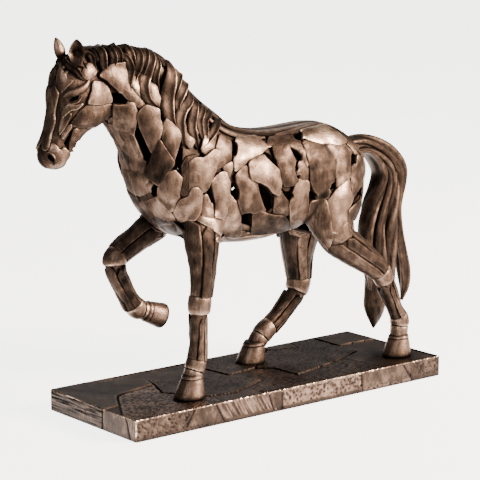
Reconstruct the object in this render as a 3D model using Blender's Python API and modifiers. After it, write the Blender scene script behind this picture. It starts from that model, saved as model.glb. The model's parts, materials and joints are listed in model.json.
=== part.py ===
"""Walking horse statue in cold-cast bronze: a pierced shell of overlapping plates, on a paved plinth.

The drawing that the tables hold is in millimetres. X runs from the head to the tail, Z runs up, and Y
runs from the horse's left side (negative) to its right side. GROUND is the height of the soles in it.
Outlines on the horse's left side are drawn on an upright sheet of glass that stands at a given Y, as
they are seen from the point SEEN_FROM, and are laid back from there onto the horse's skin.
"""

import math

import bmesh
import bpy
import numpy as np
from mathutils import Matrix, Vector
from mathutils.bvhtree import BVHTree
from mathutils.geometry import delaunay_2d_cdt

# Driving dimensions, in metres
HORSE_HEIGHT = 0.240
PLINTH_THICKNESS = 0.0156
PLINTH_AHEAD_OF_HOOF = 0.0493
PLINTH_BEHIND_HOOF = 0.0102
PLINTH_BESIDE_HOOF = 0.0133
PLINTH_EDGE = 0.0012
SEAT_GAP = 0.0003
WALL = 0.011
WIDEST_HOLLOW = 0.032
FLANK_REACH = 0.016
NECK_REACH = 0.009
POCKET_DEPTH = 0.0022
PLATE_LIFT = 0.0011
PLATE_LIFT_STEP = 0.0004
PLATE_BURIED = 0.0016
SLAB_GROOVE_WIDTH = 0.0011
SLAB_GROOVE_DEPTH = 0.0008

# The drawing's sole height and its height from there to the ear tips, in its own units
GROUND = 16.0
DRAWN_HEIGHT = 240.0
UNIT = HORSE_HEIGHT / DRAWN_HEIGHT
SEEN_FROM = Vector((-794.0, -984.0, 345.0))

# Trunk and neck, poll to dock: crest x, z, keel x, z, half width, squareness, low bulge
TRUNK = (
    (-141, 243, -130, 210, 9, 1.0, 0.00),
    (-124, 244, -118, 199, 11, 0.95, 0.02),
    (-106, 242, -110, 187, 13.5, 0.95, 0.05),
    (-88, 236, -104, 175, 16.5, 0.92, 0.08),
    (-71, 225, -100, 162, 20, 0.9, 0.10),
    (-56, 211, -95, 149, 23, 0.88, 0.10),
    (-43, 201, -84, 133, 25.5, 0.86, 0.09),
    (-29, 193, -66, 121, 26.5, 0.86, 0.06),
    (-13, 187.5, -38, 114, 27.5, 0.86, 0.04),
    (5, 185.5, -10, 112, 28, 0.86, 0.02),
    (25, 186, 18, 114, 27.5, 0.86, 0.00),
    (42, 187.5, 42, 118, 27, 0.86, -0.02),
    (57, 187, 62, 123, 26, 0.86, -0.04),
    (71, 182, 80, 128, 23.5, 0.88, -0.04),
    (82, 176.5, 91, 137, 19, 0.9, 0.0),
    (90, 172, 96, 149, 11, 1.0, 0.0),
    (93, 168, 97, 156, 5, 1.0, 0.0),
)
HOLLOW_ROWS = (5, 15)

# Head, poll to lips: front x, z, back x, z, half width, squareness, low bulge
HEAD = (
    (-138, 248, -124, 226, 7, 1.0, 0.0),
    (-149, 244, -119, 216, 11, 0.95, 0.0),
    (-158, 235, -120.5, 206, 12.5, 0.9, 0.0),
    (-162, 223, -127, 199, 12.5, 0.9, 0.05),
    (-162, 212, -138, 194.5, 10.5, 0.9, 0.05),
    (-164, 202, -145, 188.5, 8.7, 0.9, 0.05),
    (-168, 192, -149.5, 183, 8.0, 0.88, 0.0),
    (-171, 184.5, -152, 178, 8.6, 0.86, 0.0),
    (-170, 178.5, -155, 174.5, 7.8, 0.9, 0.0),
    (-166.5, 174.5, -160, 173.2, 4.8, 1.0, 0.0),
)

# Mass of hair along the crest, from the poll to the withers, in the same columns
HAIR = (
    (-146, 247, -141, 238, 5, 1.0, 0.0),
    (-136, 250.5, -130, 235, 8, 1.0, 0.0),
    (-118, 250.5, -114, 231, 10, 1.0, 0.0),
    (-102, 249, -101, 227, 11.5, 1.0, 0.0),
    (-88, 247, -92, 221, 13, 1.0, 0.05),
    (-76, 241.5, -84, 212, 14.5, 1.0, 0.08),
    (-65, 230, -76, 201, 15.5, 1.0, 0.1),
    (-55, 217, -66, 192, 16, 1.0, 0.1),
    (-45, 208, -55, 185, 15, 1.0, 0.1),
    (-35, 201, -44, 184, 11, 1.0, 0.0),
    (-26, 194.5, -32, 184, 6, 1.0, 0.0),
)

# Legs, body to fetlock: x, y, z, half depth, half width
NEAR_FORELEG = (
    (-55, -13, 158, 18, 8),
    (-57, -17, 140, 16, 9),
    (-59, -21, 124, 13.2, 9.5),
    (-60.5, -23.5, 110, 10.6, 8.8),
    (-62, -24.6, 97, 8.6, 7.3),
    (-63.5, -25.2, 85, 7.4, 6.3),
    (-64.8, -25.4, 76, 7.2, 6.4),
    (-65.2, -25.5, 66, 6.0, 5.6),
    (-65.6, -25.5, 54, 5.6, 5.1),
    (-66.6, -25.6, 44, 5.9, 5.3),
    (-68.4, -25.8, 37, 6.8, 6.1),
    (-71.2, -26.0, 30, 6.2, 5.9),
    (-73.0, -26.2, 24, 5.5, 5.2),
)
FAR_FORELEG = (
    (-50, 13, 150, 17, 8),
    (-58, 17, 135, 14, 9),
    (-68, 21, 124, 11.6, 9),
    (-80, 23, 116.5, 9.0, 8.0),
    (-91, 24, 110, 7.4, 6.9),
    (-98.5, 24, 103.5, 7.4, 6.8),
    (-97.5, 24, 95, 6.4, 6.0),
    (-92, 24, 85, 5.9, 5.4),
    (-86.5, 24, 76, 6.0, 5.4),
    (-81, 24, 68.5, 6.9, 6.0),
    (-74, 24, 65.5, 6.0, 5.8),
    (-69, 24, 64, 5.5, 5.2),
)
NEAR_HINDLEG = (
    (70, -11, 160, 22, 11),
    (62, -15, 140, 25, 14),
    (54, -19, 122, 19, 12.5),
    (58, -23, 107, 12.5, 10.5),
    (71, -25.5, 97.5, 11.0, 8.6),
    (85, -26.6, 88, 9.0, 7.2),
    (96, -27, 79.5, 7.6, 6.6),
    (102, -27, 69, 6.0, 5.8),
    (107, -27, 59.5, 5.3, 5.2),
    (111.5, -27, 50, 5.4, 5.2),
    (116, -27, 41, 6.6, 6.1),
    (115.6, -27.1, 33, 6.3, 6.0),
    (114.5, -27.3, 25, 5.6, 5.4),
)
FAR_HINDLEG = (
    (72, 11, 160, 22, 11),
    (66, 14, 140, 25, 14),
    (62, 17, 122, 21, 12.5),
    (60.5, 20, 106, 17, 10.5),
    (60.5, 21.5, 92, 13.4, 8.6),
    (61.5, 22, 80, 10.4, 7.2),
    (61.8, 22, 70, 9.0, 6.8),
    (58.5, 22, 60, 7.8, 6.4),
    (50.5, 22, 52, 6.7, 5.9),
    (40.5, 22, 43.5, 6.4, 5.7),
    (29.5, 22, 36, 7.2, 6.4),
    (23.5, 22.1, 30, 6.8, 6.2),
    (20.0, 22.3, 24, 6.0, 5.5),
)
LIMBS = {
    "near_fore": NEAR_FORELEG,
    "far_fore": FAR_FORELEG,
    "near_hind": NEAR_HINDLEG,
    "far_hind": FAR_HINDLEG,
}

# Hooves: coronet and sole centres (x, y, z), then half depth and half width at each
HOOVES = {
    "near_fore": ((-71.6, -26, 29.5), (-74.5, -26.5, GROUND), (7.2, 6.8), (11.2, 9.4)),
    "far_fore": ((-73.0, 24, 65.0), (-60.5, 24, 60.2), (7.2, 6.8), (8.8, 8.2)),
    "near_hind": ((115.3, -27.1, 28.8), (113.2, -27.5, GROUND), (7.4, 7.0), (11.6, 9.4)),
    "far_hind": ((20.0, 22.2, 28.6), (17.0, 22.5, GROUND), (8.0, 7.4), (11.4, 9.4)),
}

# Bands round the legs: leg, first and last place along its rows, how far it stands out
BANDS = (
    ("near_fore", 5.25, 6.55, 1.0),
    ("near_fore", 9.5, 10.5, 0.8),
    ("far_fore", 4.5, 5.3, 1.1),
    ("far_fore", 8.6, 9.5, 0.8),
    ("near_hind", 6.05, 6.8, 1.0),
    ("near_hind", 9.6, 10.5, 0.8),
    ("far_hind", 5.9, 6.9, 1.0),
    ("far_hind", 9.5, 10.5, 0.8),
)

# Long ribs down the legs: leg, first and last place, degrees round from the rear, half width, height
RIBS = (
    ("near_fore", 1.6, 5.3, -52, 3.6, 1.3),
    ("near_fore", 1.9, 5.3, -100, 4.4, 1.1),
    ("near_fore", 2.2, 5.3, -150, 3.6, 1.1),
    ("near_fore", 2.2, 5.3, 90, 4.2, 1.1),
    ("near_fore", 6.4, 9.6, -60, 1.9, 0.9),
    ("near_fore", 6.4, 9.6, -130, 1.9, 0.9),
    ("near_fore", 6.4, 9.6, 90, 2.2, 0.9),
    ("far_fore", 1.9, 4.6, -150, 3.4, 1.1),
    ("far_fore", 1.9, 4.6, -75, 4.0, 1.1),
    ("far_fore", 1.9, 4.6, 90, 4.4, 1.1),
    ("far_fore", 5.2, 8.7, -150, 2.0, 0.9),
    ("far_fore", 5.2, 8.7, -60, 2.0, 0.9),
    ("far_fore", 5.2, 8.7, 90, 2.4, 0.9),
    ("near_hind", 3.0, 6.2, -35, 3.0, 1.1),
    ("near_hind", 3.1, 6.2, -85, 3.6, 1.2),
    ("near_hind", 3.0, 6.2, -135, 3.2, 1.1),
    ("near_hind", 3.2, 6.2, 90, 4.2, 1.1),
    ("near_hind", 6.7, 9.7, -55, 1.8, 0.9),
    ("near_hind", 6.7, 9.7, -125, 1.8, 0.9),
    ("near_hind", 6.7, 9.7, 90, 2.2, 0.9),
    ("far_hind", 3.0, 6.0, -50, 3.8, 1.1),
    ("far_hind", 3.0, 6.0, -125, 3.8, 1.1),
    ("far_hind", 3.0, 6.0, 90, 4.6, 1.1),
    ("far_hind", 6.8, 9.6, -60, 2.0, 0.9),
    ("far_hind", 6.8, 9.6, -130, 2.0, 0.9),
    ("far_hind", 6.8, 9.6, 90, 2.4, 0.9),
)

# Plates of each side, by the glass they are drawn on: their corners, x and z
FLANK_GLASS = -24
FLANK_PLATES = (
    ((-90, 167), (-81, 169), (-76, 162), (-79, 152), (-83, 142), (-90, 144), (-96, 152), (-96, 159)),
    ((-84, 141), (-80, 148), (-73, 150), (-70, 155), (-66, 155), (-62.5, 151), (-63, 138),
     (-67, 134.5), (-79, 135)),
    ((-71, 173), (-61, 173.5), (-52.5, 178.5), (-47.5, 177), (-52, 165), (-58, 154), (-62, 152.5),
     (-67, 156), (-72, 154)),
    ((-47, 188), (-37.5, 182), (-36.5, 171.5), (-43, 168), (-49, 167), (-46, 176), (-49, 181)),
    ((-43, 166.8), (-36.7, 169.5), (-36, 165), (-38.5, 159), (-41, 162)),
    ((-54, 158), (-47, 163), (-41.5, 162), (-38.5, 155), (-42.5, 135), (-46, 133), (-51.5, 134.5),
     (-50, 144)),
    ((-62, 148), (-57.5, 149), (-53.5, 141), (-53, 134), (-61, 137)),
    ((-96, 142), (-87, 140), (-80, 133.5), (-73, 132.5), (-77, 126.5), (-88, 129.5)),
    ((-33, 184), (-5, 182), (12, 177.5), (3, 176.5), (-10, 171), (-23, 168.5), (-34, 163),
     (-35, 171), (-31, 178)),
    ((-22.5, 167.5), (-10, 170.5), (-3.5, 164.5), (3, 159.5), (5, 152), (3, 144), (-2, 146.5),
     (-13, 154.5), (-21, 158)),
    ((-1.5, 175.5), (9, 176), (14, 169), (16.5, 163), (18.5, 152), (18, 149), (9, 149.5),
     (5.5, 158.5), (3, 166)),
    ((12.5, 179), (22, 179), (28, 171), (31, 160), (29.5, 153.5), (24, 153), (21.5, 161),
     (27.5, 166), (20, 173)),
    ((-33, 160), (-26, 166), (-22, 162.5), (-21, 157.5), (-15.5, 154), (-13, 145), (-8, 134.5),
     (-27.5, 134.5), (-31, 144)),
    ((-18.5, 131.5), (-13, 133.5), (-6, 130.5), (8, 128), (11.5, 124), (11, 119), (-4, 116),
     (-18.5, 120.5)),
    ((1.5, 142.5), (6, 145), (10.5, 138.5), (13, 130.5), (9, 129), (1, 130.5)),
    ((20, 151.5), (28, 151), (29.5, 145), (28, 129), (22, 121), (14, 120), (14, 129), (18, 136.5),
     (18.5, 145)),
    ((-39, 148), (-32.5, 141), (-29, 133.5), (-28.5, 122), (-43, 121.5), (-42.5, 132)),
    ((26, 178), (46, 172), (54, 165), (54.5, 154), (49.5, 149), (48, 140), (45, 136), (37, 142),
     (34, 150), (32.5, 165)),
    ((47.5, 172.5), (66, 170), (69, 165), (67.5, 151), (61, 147), (56, 147.5), (56, 160)),
    ((49, 134), (55.5, 140.5), (67.5, 147), (69, 134), (66, 125), (63, 117), (58, 112.5), (54, 112),
     (51.5, 120)),
    ((32.5, 136.5), (39, 137), (46.5, 135), (49, 130), (50, 121), (52, 109), (47.5, 101),
     (37, 113.5), (30.5, 125)),
    ((72, 146.5), (76, 150), (80, 160), (84, 149), (83, 143), (76.5, 138), (72, 135.5)),
    ((68, 125.5), (75, 129.5), (80, 132), (78, 122), (75.5, 116.5), (68, 119.5)),
)
NECK_GLASS = -13
NECK_PLATES = (
    ((-130, 232), (-124, 238), (-114, 238), (-112, 226), (-101, 213), (-101, 209), (-109, 214),
     (-116, 220), (-127, 229)),
    ((-123.5, 213), (-108, 212), (-105, 206), (-107.5, 193), (-113, 194.5), (-121, 200)),
    ((-118, 196), (-108.5, 192), (-98.5, 173.5), (-99, 165), (-93, 158), (-95, 152.5), (-104, 153),
     (-112, 175)),
    ((-105, 205), (-99, 210), (-88.5, 206.5), (-86, 194), (-91.5, 179.5), (-97, 184), (-102, 195)),
    ((-98.5, 166), (-88, 187), (-77.5, 171.5), (-88, 159.5)),
    ((-83, 200.5), (-72, 192), (-70.5, 188), (-76, 173), (-85.5, 189)),
)
HEAD_GLASS = -9
HEAD_PLATES = (
    ((-136, 228), (-129, 227), (-124, 223), (-121.5, 216), (-123, 210), (-130, 203), (-136, 200.5),
     (-146, 200.5),
     (-152, 202.5), (-149, 207), (-139, 215), (-137, 222)),
    ((-165.5, 221), (-161.5, 221), (-160, 214), (-163.5, 205), (-166.5, 191.5), (-171, 191), (-169, 204)),
)

# Openings through the shell, drawn like the plates
FLANK_OPENINGS = (
    ((-34.5, 182), (-32, 180), (-33, 174), (-35.5, 171.5), (-36.5, 176)),
    ((-36.5, 154.5), (-33.5, 155.5), (-30, 149.5), (-31, 143.5), (-33.5, 143.5), (-36, 149)),
    ((17.5, 185.2), (21.7, 184.8), (28.3, 181), (25.8, 178.5), (20, 179.8), (17, 182.7)),
    ((-8.5, 175), (-3.5, 172.5), (1.5, 167), (2.5, 163), (-2, 165.5), (-8.5, 171.5)),
    ((12, 175.5), (20, 172), (26.5, 165.5), (22.5, 165), (16.5, 169)),
    ((17, 162.5), (20, 161), (23, 153), (20, 152.5)),
    ((-14, 153.5), (-6.5, 149.5), (0.5, 142), (0, 135), (-5, 132), (-9, 137), (-12, 145)),
    ((7, 149), (11, 145), (16.5, 144), (16.5, 138), (11, 139.5), (8, 144)),
    ((-28, 133.5), (-19.5, 133.5), (-19.5, 124), (-28, 127)),
    ((30.5, 143.5), (37, 143.5), (37, 138), (30.5, 138)),
    ((69.5, 165), (74, 165), (72.5, 150.5), (68.5, 149.5)),
    ((53, 150.5), (55, 144), (47.5, 136), (48.5, 140), (51, 146)),
    ((82, 142.5), (82.5, 138.5), (78, 134), (72.5, 130.5), (76.5, 137.5)),
    ((-57, 155), (-54.5, 153), (-52.5, 145), (-53, 141.5), (-56.5, 150)),
    ((-76.5, 164), (-73.5, 163), (-75, 156), (-80, 148.5), (-79, 156)),
)
NECK_OPENINGS = (
    ((-124, 220.5), (-117, 219.5), (-110.5, 212.5), (-123, 213.5)),
    ((-107, 195.5), (-103.5, 196), (-94, 178), (-96, 174), (-99, 175.5), (-104, 187)),
    ((-87, 208), (-83.5, 205), (-84.5, 197), (-87, 201)),
    ((-70.5, 183), (-67.5, 180), (-68.5, 170), (-72, 165), (-75.5, 170)),
    ((-103, 229.5), (-99.5, 229), (-100.5, 220), (-103, 224)),
    ((-93.5, 160), (-89.5, 158), (-89.5, 150.5), (-93.5, 152)),
)

# Pockets in the face: eye, nostril and the gap between the jaws
FACE_POCKETS = (
    ((-154, 216.5), (-152, 219), (-149, 220.5), (-145.5, 220.5), (-147.5, 217.5), (-152, 216)),
    ((-171, 184.5), (-168.5, 184.5), (-165.5, 180.5), (-166.5, 179.5), (-170, 182)),
    ((-151.5, 201), (-154.5, 196), (-158.5, 192), (-157, 188), (-154, 194)),
)

# Raised strips on the face: path, half width, height
FACE_STRIPS = (
    ((-160, 219), (-155, 222.5), (-148, 223), (-142, 225.5), (-139, 229), 2.4, 1.5),
    ((-161, 198), (-158, 204), (-153, 209), 2.2, 1.1),
    ((-163, 195), (-158, 197), (-152, 203), 1.8, 1.0),
    ((-155, 243), (-151, 238), (-147, 234), (-144, 230), (-142, 228.5), 2.6, 1.9),
    ((-163, 241), (-164, 236), (-167, 230), (-168, 225), 3.2, 2.2),
)

# Ears: tip, base, and the side that each opens to
EARS = {
    "left": ((-147.5, -9.5, 255.5), (-147, -8.5, 243), -1),
    "right": ((-151, 9.5, 256), (-147.5, 8.5, 243), 1),
}
EAR_HALF_WIDTH = 4.6
EAR_BACK = 3.4
EAR_CUP = 0.55

# Locks of the mane on the left, drawn on the neck's glass: path from root to tip, then half width
MANE_LOCKS = (
    ((-142, 249), (-137, 246), (-134, 240), (-133, 235), 3.0),
    ((-135, 250), (-131, 247), (-129, 240), (-127, 231), 3.2),
    ((-128, 250), (-123, 246), (-121, 240), (-122, 234), 3.2),
    ((-121, 249.5), (-116, 246), (-114, 241), (-114, 236), 3.2),
    ((-114, 249), (-109, 244), (-108, 233), (-110, 220), 3.6),
    ((-106, 247), (-101, 242), (-102, 234), (-106, 226), 3.4),
    ((-99, 246.5), (-96, 241), (-97, 233), (-99, 226), 3.4),
    ((-91, 243), (-94, 233), (-96, 222), (-93, 213), (-87, 207), 4.2),
    ((-86, 241), (-87, 232), (-89, 223), (-88, 214), 3.4),
    ((-79, 236), (-78, 226), (-79, 214), (-77, 203), (-73, 194), 4.6),
    ((-72, 230), (-74, 220), (-73, 209), (-69, 199), 3.8),
    ((-65, 221), (-70, 209), (-69, 198), (-67, 190), (-68, 182), 4.2),
    ((-58, 213), (-62, 203), (-63, 194), (-62, 186), 3.6),
    ((-55, 208), (-59, 199), (-57, 189), (-56, 181), 3.6),
    ((-48, 203), (-53, 196), (-51, 189), (-48, 184), 3.4),
)
LOCK_HEIGHT = 2.6
SPINE_HEIGHT = 1.4
RIDGE_FOOT = 1.6

# Strands of the tail: x, y, z, half width across its length in the side view, half thickness
TAIL_STRANDS = (
    ((84, 0, 168, 5, 7), (100, 1, 170, 4.5, 7), (116, 3, 166, 5.5, 7), (131, 4, 158, 6.5, 7),
     (141, 4, 146, 7, 7),
     (141, 4, 132, 7, 6.5), (138, 4, 117, 6, 6), (141, 4, 100, 4.5, 5.5), (145, 4, 84, 5, 5),
     (149, 4, 68, 5.5, 4.5),
     (150, 4, 56, 4, 3.5), (147.5, 4, 45.5, 1, 1.2)),
    ((84, 0, 164, 5, 8), (104, 2, 164, 4, 8), (119, 3, 157, 4.5, 8), (129, 4, 147, 5, 8),
     (130, 4, 135, 5.5, 8),
     (124, 3, 121, 5.5, 8), (119, 2, 106, 5.5, 7.5), (119, 1, 92, 5.5, 7), (122, 0, 78, 5, 6),
     (124, 0, 66, 3, 4)),
    ((82, 0, 163, 5, 8), (103, 1, 162.5, 2.5, 8), (115, 3, 156, 3.2, 8), (122.5, 3, 145, 4, 8),
     (120.5, 3, 133, 5, 8),
     (114, 3, 121, 5, 8), (109, 2, 107, 4.5, 7.5), (109, 2, 92, 4, 6.5), (111, 2, 76, 3.5, 5),
     (113.5, 2, 58, 1.2, 1.5)),
    ((134, 3, 132, 6, 8), (131, 2, 117, 7, 8), (129, 1, 102, 7, 8), (129, 1, 88, 7, 7.5),
     (131, 2, 75, 6, 6),
     (134, 3, 63, 4, 4), (137, 4, 55, 1.2, 1.5)),
    ((112, 5, 84, 4, 4), (116, 5, 70, 4, 4), (119, 5, 58, 7, 5), (121, 5, 47, 9.5, 5.5),
     (121, 5, 37, 6.5, 4.5),
     (120, 5, 28, 0.8, 0.8)),
)

# Strips along the spine: x, y and z, then half width
SPINE_STRIPS = (
    ((-58, 2, 214), (-40, 2, 202), (-20, 2, 191), (5, 2, 187), (30, 2, 188), (55, 2, 189),
     (75, 1, 182), (92, 0, 172), 4.0),
    ((-50, -8, 205), (-30, -9, 193), (-8, -10, 186), (15, -10, 185), (40, -10, 187), (62, -9, 185),
     (84, -4, 174), 3.4),
    ((-50, 9, 205), (-30, 11, 193), (-8, 12, 185), (15, 12, 184), (40, 12, 186), (62, 11, 184),
     (84, 5, 174), 3.8),
)

# Slab joints on the plinth's top, as shares of its length and width from its centre
SLAB_JOINTS = (
    ((-0.407, 0.5), (-0.363, 0.46), (-0.26, 0.33), (-0.26, 0.28), (-0.185, 0.16)),
    ((-0.185, 0.16), (-0.267, 0.17), (-0.4, 0.08)),
    ((-0.4, 0.08), (-0.415, 0.03), (-0.5, -0.38)),
    ((-0.185, 0.16), (-0.063, 0.04), (0.037, 0.08), (-0.074, 0.32), (-0.11, 0.5)),
    ((-0.063, 0.04), (-0.019, -0.2), (-0.093, -0.28), (-0.159, -0.35), (-0.22, -0.5)),
    ((-0.093, -0.28), (-0.1, -0.5)),
    ((0.037, 0.08), (0.074, 0.0), (0.081, -0.24), (0.111, -0.23), (0.289, -0.09), (0.37, 0.0),
     (0.5, 0.18)),
    ((0.289, -0.09), (0.315, -0.5)),
    ((0.074, 0.0), (0.185, 0.43), (0.226, 0.39), (0.267, 0.33), (0.37, 0.0)),
    ((0.185, 0.43), (0.17, 0.5)),
)

# Joints on the plinth's four sides: how far along and how high each one starts and ends, as shares
SIDE_JOINTS = {
    "left": (((0.215, 1), (0.26, 0)), ((0.29, 1), (0.3, 0.6)), ((0.45, 1), (0.45, 0)),
             ((0.71, 1), (0.715, 0)), ((0.84, 1), (0.9, 0))),
    "right": (((0.2, 1), (0.24, 0)), ((0.46, 1), (0.45, 0)), ((0.7, 1), (0.73, 0))),
    "front": (((0.36, 1), (0.36, 0)),),
    "back": (((0.55, 1), (0.5, 0)),),
}

SECTION_SIDES = 24
BAND_SIDES = 14
SKIN_VOXEL = 1.5
SKIN_SMOOTHING = 6
SKIN_TRIANGLES = 2600
HORSE_TRIANGLES = 9200
OUTLINE_SPACING = 9.0
CUT_START = 6.0
RIB_ROWS = 6


def on_curve(rows, steps):
    """Rows on a Catmull-Rom curve through the given rows, with steps spans between each pair."""
    rows = np.array(rows, float)
    padded = np.vstack((2 * rows[0] - rows[1], rows, 2 * rows[-1] - rows[-2]))
    found = []
    for a, b, c, d in zip(padded, padded[1:], padded[2:], padded[3:]):
        for t in np.linspace(0, 1, steps, endpoint=False):
            bend = (2 * a - 5 * b + 4 * c - d) * t**2 + (3 * b - a - 3 * c + d) * t**3
            found.append(0.5 * (2 * b + (c - a) * t + bend))
    found.append(rows[-1])
    return np.array(found)


def row_at(rows, place):
    """The row at a place such as 2.5 on the curve through the rows."""
    step = 20
    return on_curve(rows, step)[round(place * step)]


def signed_power(value, power):
    return math.copysign(abs(value) ** power, value)


def add_object(name, mesh, collection):
    data = bpy.data.meshes.new(name)
    mesh.to_mesh(data)
    mesh.free()
    made = bpy.data.objects.new(name, data)
    collection.objects.link(made)
    return made


def add_loft(mesh, rings):
    """Faces through rings of equal length, with a flat cap at each end."""
    loops = [[mesh.verts.new(p) for p in ring] for ring in rings]
    for lower, upper in zip(loops, loops[1:]):
        for i in range(len(lower)):
            j = (i + 1) % len(lower)
            mesh.faces.new((lower[i], lower[j], upper[j], upper[i]))
    mesh.faces.new(loops[0][::-1])
    mesh.faces.new(loops[-1])


def loft(name, rings, collection):
    mesh = bmesh.new()
    add_loft(mesh, rings)
    bmesh.ops.recalc_face_normals(mesh, faces=mesh.faces)
    return add_object(name, mesh, collection)


def spine_rings(table, steps, sides, wall=0.0, widest=1e9):
    """Sections that each run from a crest point to a keel point, taken in by a wall."""
    rings = []
    for cx, cz, kx, kz, half_width, squareness, low_bulge in on_curve(table, steps):
        crest = np.array((cx, cz))
        keel = np.array((kx, kz))
        length = np.linalg.norm(keel - crest)
        down = (keel - crest) / length
        across = min(half_width - wall, widest)
        ring = []
        for i in range(sides):
            angle = 2 * math.pi * i / sides
            along = 0.5 * (1 - signed_power(math.cos(angle), squareness))
            along += low_bulge * 4 * along * (1 - along)
            x, z = crest + down * (wall + (length - 2 * wall) * along)
            ring.append((x, across * signed_power(math.sin(angle), squareness), z))
        rings.append(ring)
    return rings


def limb_frames(table, places):
    """Centre, forward and side vectors, and half sizes at places along a leg."""
    frames = []
    for place in places:
        x, y, z, depth, width = row_at(table, place)
        before = row_at(table, max(place - 0.25, 0))
        after = row_at(table, min(place + 0.25, len(table) - 1))
        along = Vector(after[:3] - before[:3])
        along.y = 0
        along.normalize()
        frames.append((Vector((x, y, z)), Vector((-along.z, 0, along.x)), depth, width))
    return frames


def limb_rings(table, places, sides, swell=0.0):
    rings = []
    for centre, rear, depth, width in limb_frames(table, places):
        ring = []
        for i in range(sides):
            angle = 2 * math.pi * i / sides
            rear_part = rear * ((depth + swell) * math.cos(angle))
            ring.append(centre + rear_part + Vector((0, (width + swell) * math.sin(angle), 0)))
        rings.append(ring)
    return rings


def evaluated_copy(source, name, collection):
    """A plain mesh object of what the modifiers of another make."""
    graph = bpy.context.evaluated_depsgraph_get()
    data = bpy.data.meshes.new_from_object(source.evaluated_get(graph))
    made = bpy.data.objects.new(name, data)
    collection.objects.link(made)
    return made


def make_skin(collection):
    """The body under the plates: all forms melted into one skin, fine, and then with fewer faces."""
    mesh = bmesh.new()
    add_loft(mesh, spine_rings(TRUNK, 4, SECTION_SIDES))
    add_loft(mesh, spine_rings(HEAD, 4, SECTION_SIDES))
    add_loft(mesh, spine_rings(HAIR, 3, SECTION_SIDES))
    for table in LIMBS.values():
        places = np.arange(0, len(table) - 1 + 0.01, 0.25)
        add_loft(mesh, limb_rings(table, places, SECTION_SIDES))
    bmesh.ops.recalc_face_normals(mesh, faces=mesh.faces)
    raw = add_object("body_forms", mesh, collection)
    melt = raw.modifiers.new("melt", "REMESH")
    melt.mode = "VOXEL"
    melt.voxel_size = SKIN_VOXEL
    soften = raw.modifiers.new("soften", "SMOOTH")
    soften.factor = 0.5
    soften.iterations = SKIN_SMOOTHING
    fine = evaluated_copy(raw, "fine_skin", collection)
    triangles = sum(len(face.vertices) - 2 for face in fine.data.polygons)
    fewer = raw.modifiers.new("fewer", "DECIMATE")
    fewer.ratio = SKIN_TRIANGLES / triangles
    skin = evaluated_copy(raw, "skin", collection)
    bpy.data.objects.remove(raw)
    return fine, skin


class Surface:
    """The fine skin, to lay things on."""

    def __init__(self, fine):
        mesh = bmesh.new()
        mesh.from_mesh(fine.data)
        self.tree = BVHTree.FromBMesh(mesh)
        mesh.free()

    def seen(self, x, z, glass):
        """Where the line of sight through a point on the glass meets the skin."""
        point = Vector((x, glass, z))
        hit = self.tree.ray_cast(SEEN_FROM, (point - SEEN_FROM).normalized())[0]
        return hit if hit is not None else self.tree.find_nearest(point)[0]

    def other_side(self, point):
        """The same place on the horse's right side."""
        hit = self.tree.ray_cast(Vector((point.x, 300, point.z)), Vector((0, -1, 0)))[0]
        return hit if hit is not None else self.tree.find_nearest(Vector((point.x, -point.y, point.z)))[0]

    def normal(self, point, reach=2.5):
        """The skin's outward direction at a point, averaged over the faces near it."""
        total = Vector()
        for _, normal, _, _ in self.tree.find_nearest_range(point, reach):
            total += normal
        return total.normalized() if total.length > 0 else self.tree.find_nearest(point)[1]


def divided_outline(corners, spacing):
    points = []
    for a, b in zip(corners, corners[1:] + corners[:1]):
        a, b = Vector(a), Vector(b)
        count = max(1, round((b - a).length / spacing))
        points += [a.lerp(b, i / count) for i in range(count)]
    return points


def patch(corners, spacing):
    """Flat triangles that fill an outline, with the outline's points first."""
    points = divided_outline(corners, spacing)
    border = len(points)
    low_x, high_x = min(p.x for p in points), max(p.x for p in points)
    low_z, high_z = min(p.y for p in points), max(p.y for p in points)
    for x in np.arange(low_x + spacing / 2, high_x, spacing):
        for z in np.arange(low_z + spacing / 2, high_z, spacing):
            if all((Vector((x, z)) - p).length > spacing * 0.55 for p in points[:border]):
                points.append(Vector((x, z)))
    verts, _, faces, origins, _, _ = delaunay_2d_cdt(points, [], [list(range(border))], 1, 1e-4)
    used = sorted({v for face in faces for v in face})
    return verts, faces, used


def add_slab(mesh, flat, tops, bottoms):
    """A closed plate between two layers that share the triangles of a flat patch."""
    _, faces, used = flat
    upper = {v: mesh.verts.new(tops[v]) for v in used}
    lower = {v: mesh.verts.new(bottoms[v]) for v in used}
    sides = {}
    for face in faces:
        mesh.faces.new([upper[v] for v in face])
        mesh.faces.new([lower[v] for v in reversed(face)])
        for i in range(3):
            a, b = face[i], face[(i + 1) % 3]
            if (b, a) in sides:
                del sides[b, a]
            else:
                sides[a, b] = True
    for a, b in sides:
        mesh.faces.new((upper[b], upper[a], lower[a], lower[b]))


def plate(name, surface, corners, glass, above, below, collection, mirrored):
    """A plate laid on the skin: its top stands above it, and its underside lies below it."""
    flat = patch(corners, OUTLINE_SPACING)
    drawn, _, used = flat
    tops, bottoms = {}, {}
    for v in used:
        point = surface.seen(drawn[v].x, drawn[v].y, glass)
        if mirrored:
            point = surface.other_side(point)
        normal = surface.normal(point)
        tops[v] = point + normal * above
        bottoms[v] = point - normal * below
    mesh = bmesh.new()
    add_slab(mesh, flat, tops, bottoms)
    bmesh.ops.recalc_face_normals(mesh, faces=mesh.faces)
    return add_object(name, mesh, collection)


def straight_cut(name, surface, corners, glass, depth, collection, mirrored):
    """A prism that cuts an opening straight down through the skin."""
    points = [surface.seen(x, z, glass) for x, z in corners]
    if mirrored:
        points = [surface.other_side(point) for point in points]
    centre = sum(points, Vector()) / len(points)
    normal = surface.normal(centre, 5.0)
    rings = []
    for level in (CUT_START, -depth):
        rings.append([p - normal * (p - centre).dot(normal) + normal * level for p in points])
    return loft(name, rings, collection)


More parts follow.
